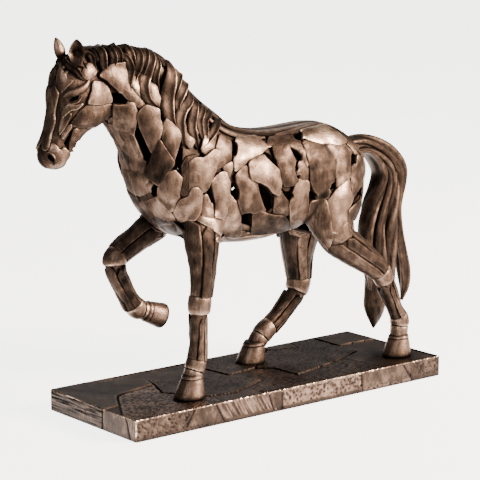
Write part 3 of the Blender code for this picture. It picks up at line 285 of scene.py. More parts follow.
# Plates of each side, by the glass they are drawn on: their level above the skin, then corners x and z
FLANK_GLASS = -24
FLANK_PLATES = (
    (1.3, (-90, 167), (-83.5, 168), (-77.5, 162), (-78.7, 152.7), (-82.8, 141.8), (-89.5, 144),
     (-96, 151.8), (-96, 159)),
    (1.7, (-84, 141), (-80.5, 148), (-73, 149.8), (-70, 155), (-66, 155), (-62.5, 151), (-63, 138),
     (-67, 134), (-79, 135)),
    (2.1, (-71.5, 172.7), (-67.5, 174.7), (-61, 173.5), (-52.5, 178.5), (-47.5, 177.2), (-51.7, 165.2),
     (-57.5, 153.5), (-62.5, 152.2), (-67.5, 155.5), (-71.7, 153.5)),
    (0.7, (-77, 171), (-72.5, 176), (-66, 176.5), (-69, 160), (-70, 150), (-77, 148)),
    (1.2, (-47, 188), (-37.5, 182), (-36.5, 171.5), (-43.3, 167.7), (-50, 166), (-47, 176), (-50, 180)),
    (0.8, (-62, 180), (-58, 190), (-48, 188), (-49, 180), (-52.5, 178.5), (-58, 176.5)),
    (0.9, (-43.5, 166.8), (-36.7, 169.3), (-36.2, 165), (-38.5, 159), (-41, 161.8)),
    (1.8, (-54, 158), (-47, 163), (-41.7, 162.7), (-38.3, 155.2), (-39.2, 149.3), (-42.5, 135.2),
     (-45.8, 132.7), (-51.7, 134.3), (-50, 143.5), (-51.7, 150.2)),
    (1.1, (-62, 148.5), (-57.3, 149.5), (-53.3, 142), (-52.5, 134), (-61.5, 137)),
    (0.9, (-110, 150.5), (-103, 151), (-96.8, 152.9), (-91, 145.4), (-83, 137), (-85.5, 134),
     (-95.6, 134.5), (-104.7, 138)),
    (0.5, (-90, 133), (-84, 136), (-78, 134.4), (-74, 131), (-75.5, 124), (-84, 120.5), (-92, 125)),
    (0.8, (-66, 134.5), (-62.4, 137), (-53.3, 134.3), (-43.6, 131.9), (-42, 126), (-46.1, 121.5),
     (-54.1, 128.2)),
    (0.6, (-43, 122), (-28, 120), (-20, 119.5), (-20, 116.5), (-44, 114.5), (-50, 119)),
    (1.5, (-33.5, 184), (-16, 184), (-5.6, 177), (-12, 172.5), (-22.5, 168.6), (-33.5, 163.5),
     (-35, 170.5), (-32, 177)),
    (0.7, (-5.6, 177), (-4, 183.3), (16.7, 183.2), (21.3, 179.7), (25, 177), (27, 170.1),
     (30.1, 159.5), (24.5, 167.2), (12.5, 177.5), (0, 177.2)),
    (2.1, (-22.5, 167.7), (-15, 170.5), (-9, 171), (-3.3, 165.2), (3.3, 160.2), (5.3, 151.8),
     (3.3, 143.5), (-1.7, 146), (-7, 150), (-13.3, 154.3), (-20, 156.8), (-21.7, 161)),
    (1.6, (-1.5, 176), (11.5, 176.8), (13.3, 171.8), (17.5, 165.2), (16.7, 157.7), (20.5, 152.7),
     (20, 148.8), (9.5, 149), (5.2, 158.5), (2.5, 166.8)),
    (1.2, (21, 163.5), (25.5, 165.5), (28.5, 162), (31.3, 158), (30.2, 151.5), (24, 152), (20.5, 158)),
    (1.2, (-33.3, 160.2), (-25.8, 166), (-22, 163.2), (-21, 158), (-15.8, 155), (-13.3, 148.5),
     (-8, 136), (-7.5, 133.6), (-28, 134), (-31.3, 144), (-32.3, 155)),
    (1.5, (-19, 131.8), (-13.3, 134), (-5.8, 131), (0, 129.3), (8.3, 128.5), (11.7, 124.3),
     (12.5, 119.6), (0, 116), (-19, 119)),
    (0.9, (0.5, 142.8), (5.8, 145.4), (11.2, 139), (13.2, 130.2), (9.2, 128.8), (0.6, 130.2)),
    (1.8, (13.8, 120), (13.8, 128.5), (13.2, 136.5), (20.4, 151.7), (26.6, 152), (31, 149),
     (30.2, 140), (29, 124.3)),
    (0.8, (14.3, 119.3), (27, 123.5), (30, 123), (33, 116), (23, 113), (15.3, 116)),
    (1.0, (-39, 148.3), (-32, 141.8), (-28.8, 133.5), (-28.3, 120.5), (-31.7, 118.5), (-43, 121.5),
     (-42.3, 132)),
    (1.5, (22.5, 183.9), (32.6, 185.4), (45.1, 186), (55.7, 181.2), (66, 174.4), (60, 172.8),
     (50.5, 172.8), (42, 175), (28, 179)),
    (2.0, (24.9, 177.4), (35, 176.5), (46.2, 174), (55.8, 163), (55.9, 156.3), (52.8, 149.3),
     (48, 136.5), (37.5, 138), (32, 150.6), (31.7, 160.1), (28, 170.8)),
    (1.5, (46.8, 174), (63.2, 172.2), (69.5, 167.1), (68, 149), (56.5, 143.5), (54.9, 154.8),
     (55.8, 162.7)),
    (1.8, (30, 125.5), (31.8, 135.5), (42.3, 137.1), (47, 133.8), (50.4, 120.4), (53.3, 107.5),
     (50, 101.5), (37.2, 113.5), (30.9, 122)),
    (1.4, (48, 133.7), (56, 141), (67.8, 147.9), (68.9, 138.8), (72.2, 134.4), (66.9, 125.9),
     (67, 118.6), (57.4, 110.9), (52.5, 112.9), (49, 126.3)),
    (1.1, (69.9, 147.7), (74.6, 164.2), (79.5, 162.2), (84, 150.4), (83, 146.4), (72.2, 134.4)),
    (1.2, (67.5, 125.9), (80, 132.2), (84.3, 145), (83.1, 132.4), (76.8, 115.8), (67, 117.8)),
    (0.7, (75, 165), (70, 171), (66, 174), (77, 170), (85, 163), (86, 150), (83.5, 143), (84, 152),
     (79.5, 163)),
    (0.8, (86.5, 162), (90, 155), (91, 145), (89, 136), (84.5, 122), (79, 116), (84, 131), (86, 147)),
    (0.6, (52.5, 110), (58, 110.5), (67, 117.5), (77, 115), (72.5, 107.5), (62, 104), (55, 104)),
)
NECK_GLASS = -13
NECK_PLATES = (
    (1.3, (-134, 232), (-125, 238.5), (-113.5, 239), (-112, 226), (-100.6, 213), (-100.4, 208.6),
     (-109.5, 214.6), (-116.6, 220), (-128, 229.5)),
    (1.4, (-123.7, 213.4), (-107.6, 212.6), (-105, 206), (-107.3, 193), (-113, 194.3), (-121.5, 200)),
    (1.1, (-119, 196), (-112, 194.5), (-108, 192), (-98, 173.8), (-98.8, 165), (-92.6, 159.5),
     (-94, 152.8), (-103, 152.5), (-111.5, 170), (-115, 184)),
    (1.8, (-105, 205), (-99, 210.6), (-88.3, 206.8), (-86, 194), (-91.2, 178.8), (-97, 183.5),
     (-102, 195.7)),
    (2.3, (-98.7, 166), (-88, 187.7), (-76.7, 171.3), (-88, 158.6)),
    (1.5, (-83, 200.8), (-72, 192), (-70.2, 188), (-76, 172), (-85.8, 189.6)),
    (0.9, (-110, 226), (-104, 232), (-100, 218), (-96, 208), (-99.8, 208.4), (-99.9, 213.5)),
    (0.8, (-97, 226), (-90, 222), (-84, 208), (-88, 207), (-95, 211)),
    (0.7, (-122.5, 205), (-123, 200.5), (-119.5, 196), (-115.5, 184), (-112, 170), (-106, 155),
     (-110, 157), (-116, 175), (-121, 192), (-127, 203)),
    (0.7, (-68, 196), (-60, 200), (-56, 190), (-62, 180), (-66, 184)),
)
HEAD_GLASS = -9
HEAD_PLATES = (
    (1.5, (-136, 228.5), (-129, 227.4), (-124, 222.9), (-121.3, 216.4), (-121.8, 214.4), (-131, 213.2),
     (-141, 214.6), (-139.6, 217), (-137, 222)),
    (1.2, (-140.6, 213.8), (-131, 212.4), (-122, 213.7), (-124.6, 207), (-129.3, 203), (-135.5, 199.9),
     (-146, 199.9), (-152.6, 201.4), (-153, 203), (-149, 207), (-143.5, 212)),
    (1.1, (-166.8, 225.5), (-163.6, 227.5), (-161.2, 222), (-163, 215.9), (-164.2, 209.8),
     (-164.4, 203.6), (-167, 196.4), (-169.8, 188), (-172.6, 187), (-174.2, 190.5), (-171.6, 198.1),
     (-169.6, 207.2), (-168, 216.3)),
    (0.9, (-161, 205.9), (-153.4, 210), (-152.2, 208.6), (-154.5, 204.8), (-161.4, 195.8),
     (-162.2, 199.8)),
    (1.0, (-152.6, 202.6), (-155, 202), (-160.8, 195.5), (-158.9, 193.1), (-153, 200)),
    (0.8, (-150.6, 199.6), (-139, 198.6), (-144.5, 193.8), (-151.5, 186.2), (-155.3, 185.2),
     (-155, 190.5)),
    (0.9, (-160.6, 204), (-159.4, 211.8), (-155, 215), (-149, 214.2), (-143, 215.2), (-148.4, 211.6),
     (-153, 211.2), (-157.4, 208.2)),
    (0.8, (-162.4, 233.8), (-159, 238), (-154.8, 230.6), (-149.8, 229.6), (-155.4, 226.2),
     (-159.8, 222.3), (-162, 226.6)),
    (0.9, (-167.4, 192), (-164.1, 189.5), (-161.4, 186.2), (-159, 188.6), (-154.6, 185),
     (-155.9, 181.4), (-161, 177.4), (-165.8, 177.8), (-165, 181), (-167.6, 185), (-170.6, 186.4)),
    (0.7, (-145, 229.5), (-137.6, 229.8), (-133, 233), (-133.5, 238), (-139, 240), (-143.5, 236)),
)

# Openings through the shell, drawn like the plates
FLANK_OPENINGS = (
    ((-34.3, 182.3), (-32, 180), (-33, 174), (-35.5, 171.3), (-36.3, 176)),
    ((-36.7, 155), (-33.3, 156), (-30.4, 149.5), (-31.4, 143.3), (-33.5, 143.3), (-37, 149.5)),
    ((17.5, 185.2), (21.7, 184.8), (28.3, 181), (25.8, 178.5), (20, 179.8), (17, 182.7)),
    ((-14.8, 185.6), (-4.4, 184.5), (-5, 182.7), (-10.8, 182.2)),
    ((-8.7, 174.8), (-3.5, 172.7), (1.7, 166.8), (2.3, 162.5), (-2.4, 165.9), (-8.5, 171.3)),
    ((12, 175.8), (20, 172.3), (26.7, 165.5), (22.5, 164.8), (16.5, 168.8)),
    ((17.3, 162.8), (20, 161.2), (23.4, 153), (20, 152.7)),
    ((-14, 153.8), (-6.5, 149.8), (0.3, 142.5), (0, 135), (-5, 132), (-8.4, 136.8), (-12.3, 146)),
    ((6.6, 149), (11, 145), (17, 144.2), (16.5, 137.6), (11.6, 139.4), (7.2, 144.6)),
    ((-28, 133.8), (-19.3, 133.8), (-19.3, 123.8), (-28.2, 127)),
    ((30.7, 143.7), (37, 142), (37.4, 137.8), (30.7, 137.8)),
    ((69.7, 165.3), (74.2, 165.6), (73.2, 150.8), (68.9, 149.2)),
    ((52.8, 150.9), (55.2, 144.2), (47.6, 135.4), (48.8, 140), (50.9, 146)),
    ((83, 142.8), (83, 138.4), (78, 133.6), (71.8, 130.2), (76.4, 137.4)),
    ((-57, 155.3), (-54.3, 153.4), (-52, 144.5), (-52.8, 141.5), (-56.3, 149.8)),
    ((-76.4, 164.3), (-72.6, 163.6), (-72.8, 155), (-79.6, 148.6), (-78.4, 155.6)),
    ((-58.5, 181), (-56.5, 180.3), (-57.4, 177.5), (-64, 174.8)),
)
NECK_OPENINGS = (
    ((-124, 220.8), (-117, 219.8), (-110.3, 212.6), (-123, 213.4)),
    ((-107.2, 195.5), (-103.3, 196.5), (-93.8, 178.3), (-95.6, 173.8), (-99, 175.3), (-104.2, 187)),
    ((-87.2, 208), (-83.3, 205), (-84.2, 197), (-87, 201)),
    ((-70.5, 183), (-67.3, 180), (-68.3, 170), (-72, 163), (-75.4, 163.4), (-76.4, 169.5)),
    ((-103, 229.8), (-99.3, 229), (-100.2, 220), (-103, 224)),
    ((-93.7, 160), (-89.3, 158.3), (-89.3, 150.3), (-93.7, 151.8)),
)

# Openings that the right side doesn't repeat, and two of its own, x and z. These line up with two on the
# left, so that light shows through both, and the plates over them are notched there.
LEFT_ONLY = (NECK_OPENINGS[3], FLANK_OPENINGS[10])
RIGHT_OPENINGS = (
    ((0, 144), (7, 146), (11, 140), (9, 131), (2, 130), (-1, 137)),
    ((-51, 163), (-40, 164), (-36, 158), (-38, 150), (-47, 150), (-52, 157)),
)
RIGHT_NOTCHES = ((8.0, 140.2), (-43.2, 159.0))
NOTCH_HALF_WIDTH = 2.0
NOTCH_PAST = 2.4
# How far right of the middle a mirrored plate has to stay, so that it doesn't land on the wrong leg
RIGHT_CLEARANCE = 3

# Pockets in the face: eye, nostril and the gap between the jaws
FACE_POCKETS = (
    ((-154, 216.6), (-152, 219), (-149, 220.6), (-145.5, 220.6), (-147.3, 217.5), (-151.5, 216.2)),
    ((-171, 184.5), (-168.3, 184.7), (-165.3, 180.7), (-166.5, 179.3), (-170, 182)),
    ((-151.5, 201), (-154.5, 196), (-158.5, 191), (-157, 188), (-153.6, 194)),
)

# Raised strips on the face: path, half width, height
FACE_STRIPS = (
    ((-158, 220), (-154, 221.8), (-149, 222.4), (-143.5, 224.2), (-140.2, 226.6), (-138.5, 229.6), 2.7, 1.2),
    ((-155.4, 215.6), (-151.5, 214.8), (-147, 216), (-144.4, 219.2), 1.1, 0.8),
    ((-171.8, 186), (-168.6, 185.6), (-165.2, 182), (-164.8, 178.4), 1.0, 0.9),
    ((-168.5, 179.2), (-165, 177), (-160, 177.4), (-156.6, 180.4), 1.0, 0.8),
    ((-157, 246), (-160.4, 242.6), (-159.4, 238.6), (-161, 234.4), (-158.6, 231), 2.2, 1.5),
    ((-161, 244), (-164.2, 240.2), (-163, 236.4), (-165, 231.6), 2.0, 1.3),
    ((-152.6, 236), (-156.4, 234.6), (-157, 231), (-154, 228.6), 1.8, 1.2),
)

# Locks of the forelock, drawn like the mane's but on the head's glass
FORELOCKS = (
    ((-155, 246), (-154.6, 241.8), (-151.4, 238.6), (-147.4, 236.4), (-144.4, 232.4), (-141, 229), 4.0),
    ((-149.5, 246), (-146.6, 242), (-142.8, 239.4), (-140.2, 235.6), 3.4),
)

# Ears: tip, base, and the side that each opens to
EARS = {
    "left": ((-147.5, -9.5, 255.4), (-147, -8.5, 243), -1),
    "right": ((-151, 9.5, 255.6), (-147.5, 8.5, 243), 1),
}
EAR_HALF_WIDTH = 5.2
EAR_BACK = 3.8
EAR_CUP = 0.85
# Sections from base to tip: share of the length, share of the size
EAR_SECTIONS = ((-0.35, 0.6), (0.0, 0.8), (0.3, 1.0), (0.6, 0.85), (0.85, 0.5), (1.0, 0.12))

# Locks of the mane on the left, drawn on the neck's glass: path of the bright rear edge from root to tip,
# then width
MANE_LOCKS = (
    ((-143, 247), (-140.3, 246), (-138.1, 243), (-137.8, 238.5), (-135.5, 235.2), 3.6),
    ((-139.5, 250), (-135.8, 247.4), (-133.6, 244), (-133.2, 240), 3.8),
    ((-134.5, 250.8), (-129.8, 246.8), (-128.7, 241.3), (-128.5, 236.3), (-126.7, 229.9), 5.2),
    ((-129.2, 251.2), (-123.9, 247.8), (-120.8, 242.7), (-121.5, 238.4), (-121.3, 234.8), 5.0),
    ((-124.5, 250.6), (-118.6, 247), (-116.6, 242.4), (-116.8, 238.6), 4.4),
    ((-120.5, 250.4), (-112.5, 248.7), (-108.5, 244.7), (-106.3, 238.7), (-106.6, 236), 5.0),
    ((-116.4, 246), (-110.8, 242.1), (-107.8, 236.3), (-108.3, 231.3), (-109.2, 226.3), (-110, 219.4),
     5.6),
    ((-108.5, 249.6), (-102.4, 245.4), (-100.6, 240), (-102.3, 234.1), (-105.4, 228.6),
     (-106.5, 224.5), 6.0),
    ((-99.6, 248.8), (-96.4, 244), (-96.6, 238), (-99.2, 232), (-101.2, 226), 5.2),
    ((-92.4, 246), (-90.6, 240), (-93.4, 231.6), (-96, 225.4), (-96.4, 220.4), (-94.2, 214.5),
     (-87.1, 207.9), 8.4),
    ((-87.2, 242), (-86.8, 234.4), (-88.5, 228.8), (-88.5, 223.7), (-87, 216), 4.8),
    ((-82.4, 242), (-75.9, 232), (-75, 222.8), (-77.1, 213.9), (-76.8, 204.8), (-75.3, 197.6),
     (-72.1, 192.4), 9.6),
    ((-73, 236), (-70.4, 229.5), (-72.4, 220), (-74.5, 214), 5.0),
    ((-67, 229), (-65.5, 222), (-68, 215), (-71.6, 208.3), (-70, 202), 6.4),
    ((-61, 219), (-61.4, 209.5), (-66.4, 203.6), (-68.6, 197.5), (-67.6, 189.8), (-67.4, 181.6), 7.6),
    ((-56, 212.5), (-57.4, 203.6), (-59.4, 193.6), (-57.4, 186.2), (-55.6, 178.6), 6.8),
    ((-50.6, 208.5), (-51.6, 202), (-54, 196), (-52.6, 189.6), (-51.2, 184.4), 5.6),
    ((-44.4, 204.6), (-46.2, 199.4), (-49.8, 195), (-48.6, 188.6), (-49.8, 183), 5.6),
    ((-38, 200.6), (-38.8, 194), (-41.4, 188), (-47.2, 182.4), (-54.4, 178), 5.6),
)

# Strands of the tail: their number of lobes, then x, y, z, half width in the side view and half thickness
TAIL_STRANDS = (
    (4, (84, 0, 168, 5, 7), (100, 1, 170, 4.5, 7), (116, 3, 166, 5.5, 7), (131, 4, 158, 6.5, 7),
     (141, 4, 146, 7, 7), (141, 4, 132, 7, 6.5), (138, 4, 117, 6, 6), (141, 4, 100, 4.5, 5.5),
     (145, 4, 84, 5, 5), (149, 4, 68, 5.5, 4.5), (150, 4, 56, 4, 3.5), (147.5, 4, 45.5, 1, 1.2)),
    (4, (84, 0, 164, 5, 8), (104, 2, 164, 4, 8), (119, 3, 157, 4.5, 8), (129, 4, 147, 5, 8),
     (130, 4, 135, 5.5, 8), (124, 3, 121, 5.5, 8), (119, 2, 106, 5.5, 7.5), (119, 1, 92, 5.5, 7),
     (122, 0, 78, 5, 6), (124, 0, 66, 3, 4)),
    (3, (82, 0, 163, 5, 8), (103, 1, 162.5, 2.5, 8), (115, 3, 156, 3.2, 8), (122.5, 3, 145, 4, 8),
     (120.5, 3, 133, 5, 8), (114, 3, 121, 5, 8), (109, 2, 107, 4.5, 7.5), (109, 2, 92, 4, 6.5),
     (111, 2, 76, 3.5, 5), (113.5, 2, 58, 1.2, 1.5)),
    (4, (137, 3, 146, 1.5, 3), (134, 3, 132, 5.5, 7.5), (131, 2, 117, 7, 8), (129, 1, 102, 7, 8),
     (129, 1, 88, 7, 7.5), (131, 2, 75, 6, 6), (134, 3, 63, 4, 4), (137, 4, 55, 1.2, 1.5)),
    (2, (112, 5, 84, 4, 4), (116, 5, 70, 4, 4), (119, 5, 58, 7, 5), (121, 5, 47, 9.5, 5.5),
     (121, 5, 37, 6.5, 4.5), (120, 5, 28, 0.8, 0.8)),
)

# How far round each strand's lobes start beyond those of the strand before, in radians
STRAND_PHASE = 1.7

# Strips along the spine: x, y and z, then half width
SPINE_STRIPS = (
    ((-60, 0, 215), (-40, 0, 202), (-20, 0, 191), (5, 0, 187), (30, 0, 188), (55, 0, 189),
     (75, 0, 182), (92, 0, 172), 5.0),
    ((-52, -7, 206), (-30, -8, 193), (-8, -9, 186), (15, -9, 185), (40, -8, 187), (60, -5, 187), 4.4),
    ((10, -13, 183), (28, -13, 185), (46, -11, 187), (64, -8, 184), (84, -3, 174), 3.6),
    ((-48, -14, 200), (-34, -15, 190), (-18, -15, 185), (0, -15, 183), 3.0),
    ((-52, 7, 206), (-30, 8, 193), (-8, 9, 186), (15, 9, 185), (40, 8, 187), (60, 5, 187), 4.4),
    ((10, 13, 183), (28, 13, 185), (46, 11, 187), (64, 8, 184), (84, 3, 174), 3.6),
)

# Joints between the slabs of the plinth, as shares of its length and width from its centre
SLAB_JOINTS = (
    ((-0.407, 0.52), (-0.363, 0.46), (-0.26, 0.33), (-0.26, 0.28), (-0.185, 0.16), (-0.063, 0.04)),
    ((-0.26, 0.28), (-0.267, 0.17), (-0.4, 0.08), (-0.415, 0.03), (-0.507, -0.38)),
    ((-0.5, -0.15), (-0.448, -0.12)),
    ((-0.267, 0.17), (-0.3, -0.05), (-0.23, -0.3), (-0.225, -0.5)),
    ((-0.23, -0.3), (-0.16, -0.35), (-0.093, -0.28), (-0.019, -0.2), (-0.063, 0.04)),
    ((-0.093, -0.28), (-0.1, -0.5)),
    ((-0.09, 0.52), (-0.074, 0.32), (-0.063, 0.04), (0.037, 0.08), (0.148, 0.36), (0.185, 0.43)),
    ((0.037, 0.08), (0.074, 0.0), (0.081, -0.24), (0.111, -0.23), (0.222, -0.15), (0.289, -0.09),
     (0.37, 0.0), (0.367, 0.2)),
    ((0.289, -0.09), (0.315, -0.5)),
    ((0.19, 0.52), (0.185, 0.43), (0.211, 0.36), (0.226, 0.39), (0.267, 0.33), (0.29, 0.52)),
    ((0.367, 0.52), (0.367, 0.2), (0.5, 0.18)),
)

# The slabs: a place inside each, how its top is worked, and how many steps down it lies
SLABS = (
    ((-0.44, 0.25), "smooth", 0.0), ((-0.28, 0.45), "smooth", 0.9), ((-0.38, -0.2), "coarse", 0.45),
    ((-0.486, -0.2), "smooth", 1.0), ((-0.15, -0.42), "smooth", 1.0), ((-0.15, 0.0), "pitted", 0.4),
    ((0.0, -0.35), "hewn", 1.0), ((0.0, 0.3), "pitted", 0.1), ((0.22, 0.1), "pitted", 0.35),
    ((0.42, -0.2), "smooth", 0.8), ((0.44, 0.35), "smooth", 0.0), ((0.23, 0.45), "smooth", 0.15),
)

# Joints on the plinth's four sides: how far along and how high each one starts and ends, as shares
SIDE_JOINTS = {
    "left": (((0.18, 1), (0.15, 0.2)), ((0.24, 1), (0.27, 0)), ((0.405, 1), (0.425, 0)),
             ((0.45, 1), (0.45, 0)), ((0.715, 1), (0.72, 0)), ((0.86, 1), (0.9, 0))),
    "right": (((0.2, 1), (0.24, 0)), ((0.46, 1), (0.45, 0)), ((0.7, 1), (0.73, 0))),
    "front": (((0.62, 1), (0.62, 0)), ((0.88, 1), (0.93, 0))),
    "back": (((0.55, 1), (0.5, 0)),),
}

# How the panels between those joints are worked
SIDE_TEXTURES = {
    "left": ("pitted", "smooth", "grain", "smooth", "coarse", "smooth", "pitted"),
    "right": ("smooth", "coarse", "grain", "pitted"),
    "front": ("layers", "smooth", "smooth"),
    "back": ("layers", "smooth"),
}
# Heights of the rows of points down the sides, as shares of the plinth's height
SIDE_LEVELS = (0.97, 0.93, *np.linspace(0.9, 0.08, 22), 0.04, 0.0)
# How far the four rows of points next to the top's edge are worn bright
EDGE_WEAR = (0.75, 0.95, 0.6, 0.2)

# Section of a lock of the mane, from its front to its rear edge: share of its width, share of its height,
# how bright it is rubbed. A height of -1 is set deep in the skin.
LOCK_SECTION = (
    (-1.1, -1, 0.0), (-1.1, 0.05, 0.1), (-0.97, 0.3, 0.24), (-0.76, 0.45, 0.36), (-0.55, 0.44, 0.3),
    (-0.36, 0.48, 0.22), (-0.2, 0.7, 0.3), (-0.1, 0.92, 0.6), (-0.03, 1.0, 0.95), (0.03, 0.95, 0.9),
    (0.08, 0.6, 0.3), (0.13, 0.1, 0.0), (0.16, -1, 0.0),
)
LOCK_HEIGHT = 2.3
LOCK_LIFT = 0.9
LOCK_FOOT = 3.0

# Sides of the sections that the forms are lofted from, and how the forms are melted into one skin
SECTION_SIDES = 48
SKIN_VOXEL = 1.1
SKIN_ROUNDS = 10

# How far the shell lies below the skin on the legs and the body, from where behind the face, and over what
# length the change fades in
LEGS_BELOW = 110
LOWERED_LEGS = 0.6
LOWERED_BODY = 0.8
FACE_END = -140
FACE_FADE = 12

# Where an opening's cut starts above the skin, and how deep the cuts go
CUT_START = 6.0
FLANK_REACH = 18.0
NECK_REACH = 15.0
POCKET_DEPTH = 2.4

# Seed of the noise that makes cut edges uneven, so that it is the same in each run, then the seeds of the
# plates' edges and tones, by where they are laid
EDGE_SEED = 1
RIGHT_SEED = 30
BELLY_SEED = 200
# The head's seed sets tones that paint light: brighter upper cheek and nose plates, darker lower cheek
HEAD_SEED = 328
LEG_SEED = 400

# Where the photograph was taken from, in metres and radians, and the sensor in millimetres
VIEW_TARGET = Vector((-0.01002, 0, 0.11021))
VIEW_DISTANCE = 1.28005
VIEW_AZIMUTH = math.radians(-38.539)
VIEW_ELEVATION = math.radians(10.558)
VIEW_ROLL = math.radians(-0.152)
VIEW_TOWARD = Vector((math.sin(VIEW_AZIMUTH), -math.cos(VIEW_AZIMUTH), 0))
SENSOR = 36

# The floor's size, how far from the camera its lit part runs, past the top of the picture, the cloth's
# width, and how far the lit part and the cloth lie above the floor, in metres
FLOOR_SIZE = 30
TABLE_REACH = 8
CLOTH_WIDTH = 2
TABLE_LEVEL = 0.0005
CLOTH_LEVEL = 0.001

# Lights: name, place and size in metres, watts, colour
LIGHTS = (
    ("key", (0.9, -1.0, 0.72), 0.45, 64, "#ffeedd"),
    ("fill", (-1.1, -1.1, 1.0), 0.8, 8, "#ffffff"),
    ("rim", (0.7, 1.3, 1.3), 1.2, 7, "#ffffff"),
)
LIGHTS_AIM = Vector((0, 0, 0.1))


# Shapes in the drawing


def on_curve(rows, steps):
    """Rows on a Catmull-Rom curve through the given rows, with steps spans between each pair."""
    rows = np.array(rows, float)
    padded = np.vstack((2 * rows[0] - rows[1], rows, 2 * rows[-1] - rows[-2]))
    found = []
    for a, b, c, d in zip(padded, padded[1:], padded[2:], padded[3:]):
        for t in np.linspace(0, 1, steps, endpoint=False):
            bend = (2 * a - 5 * b + 4 * c - d) * t**2 + (3 * b - a - 3 * c + d) * t**3
            found.append(0.5 * (2 * b + (c - a) * t + bend))
    found.append(rows[-1])
    return np.array(found)


@functools.cache
def fine_rows(name):
    """The rows of a leg, filled in to twenty between each pair."""
    return on_curve(LIMBS[name], 20)


def limb_frame(name, place):
    """Centre, rearward direction and half sizes at a place along a leg."""
    rows = fine_rows(name)
    at = min(max(place, 0), len(LIMBS[name]) - 1) * 20
    low = min(int(at), len(rows) - 2)
    row = rows[low] + (rows[low + 1] - rows[low]) * (at - low)
    along = Vector(rows[min(low + 5, len(rows) - 1)][:3] - rows[max(low - 5, 0)][:3])
    along.y = 0
    along.normalize()
    return Vector(row[:3]), Vector((-along.z, 0, along.x)), row[3], row[4]


def limb_ring(name, place, sides, swell=0.0):
    centre, rear, depth, width = limb_frame(name, place)
    ring = []
    for i in range(sides):
        angle = 2 * math.pi * i / sides
        across = Vector((0, (width + swell) * math.sin(angle), 0))
        ring.append(centre + rear * ((depth + swell) * math.cos(angle)) + across)
    return ring


def signed_power(value, power):
    return math.copysign(abs(value) ** power, value)


def spine_rings(table, steps, sides, wall=0.0):
    """Sections that each run from a crest point to a keel point, taken in by a wall."""
    rings = []
    for cx, cz, kx, kz, half_width, squareness, low_bulge in on_curve(table, steps):
        crest = np.array((cx, cz))
        keel = np.array((kx, kz))
        length = np.linalg.norm(keel - crest)
        down = (keel - crest) / length
        across = max(half_width - wall, 1.0)
        ring = []
        for i in range(sides):
            angle = 2 * math.pi * i / sides
            along = 0.5 * (1 - signed_power(math.cos(angle), squareness))
            along += low_bulge * 4 * along * (1 - along)
            x, z = crest + down * (wall + (length - 2 * wall) * along)
            ring.append(Vector((x, across * signed_power(math.sin(angle), squareness), z)))
        rings.append(ring)
    return rings


# Meshes


class Cast:
    """Points and faces in drawing millimetres, with each point's brightness: its rub plus painted light and
    shade.
    """

    def __init__(self):
        self.points = []
        self.faces = []
        self.rub = []

    def add(self, points, rub):
        start = len(self.points)
        self.points += points
        self.rub += rub
        return start

    def loft(self, rings, rubs):
        """Faces through rings of equal length, with a flat cap at each end."""
        size = len(rings[0])
        start = self.add([p for ring in rings for p in ring], [r for row in rubs for r in row])
        for k in range(len(rings) - 1):
            lower, upper = start + k * size, start + (k + 1) * size
            for i in range(size):
                j = (i + 1) % size
                self.faces.append((lower + i, lower + j, upper + j, upper + i))
        self.faces.append(tuple(range(start + size - 1, start - 1, -1)))
        last = start + (len(rings) - 1) * size
        self.faces.append(tuple(range(last, last + size)))

    def data(self, name):
        made = bpy.data.meshes.new(name)
        made.from_pydata([tuple(p) for p in self.points], [], self.faces)
        mesh = bmesh.new()
        mesh.from_mesh(made)
        bmesh.ops.recalc_face_normals(mesh, faces=mesh.faces)
        mesh.to_mesh(made)
        mesh.free()
        store_rub(made, self.rub)
        return made


def store_rub(data, values):
    attribute = data.attributes.new("rub", "FLOAT", "POINT")
    attribute.data.foreach_set("value", np.array(values, np.float32))


def show(name, data, material, node, sharp_degrees=38, placed=PLACED):
    """Puts a finished mesh in the scene, in the row's frame, standing for one CAD node."""
    data.transform(placed)
    data.materials.clear()
    data.materials.append(material)
    data.shade_smooth()
    data.set_sharp_from_angle(angle=math.radians(sharp_degrees))
    piece = bpy.data.objects.new(name, data)
    bpy.context.scene.collection.objects.link(piece)
    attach(piece, "root")
    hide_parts(node)
    return piece


def scratch_object(name, data):
    made = bpy.data.objects.new(name, data)
    bpy.context.scene.collection.objects.link(made)
    return made


def evaluated_mesh(source):
    graph = bpy.context.evaluated_depsgraph_get()
    return bpy.data.meshes.new_from_object(source.evaluated_get(graph))


class Surface:
    """The smooth skin of the horse, to lay things on."""

    def __init__(self, data):
        mesh = bmesh.new()
        mesh.from_mesh(data)
        self.tree = BVHTree.FromBMesh(mesh)
        mesh.free()
        self.data = data

    def seen(self, x, z, glass):
        """Where the line of sight through a point on the glass meets the skin."""
        point = Vector((x, glass, z))
        hit = self.tree.ray_cast(SEEN_FROM, (point - SEEN_FROM).normalized())[0]
        return hit if hit is not None else self.tree.find_nearest(point)[0]

    def nearest(self, point):
        return self.tree.find_nearest(point)[0]

    def other_side(self, point):
        """The same place on the horse's right side."""
        return self.nearest(Vector((point.x, -point.y, point.z)))

    def normal(self, point, reach=2.5):
        """The skin's outward direction at a point, averaged over the faces near it."""
        total = Vector()
        for _, normal, _, _ in self.tree.find_nearest_range(point, reach):
            total += normal
        return total.normalized() if total.length > 0 else self.tree.find_nearest(point)[1]


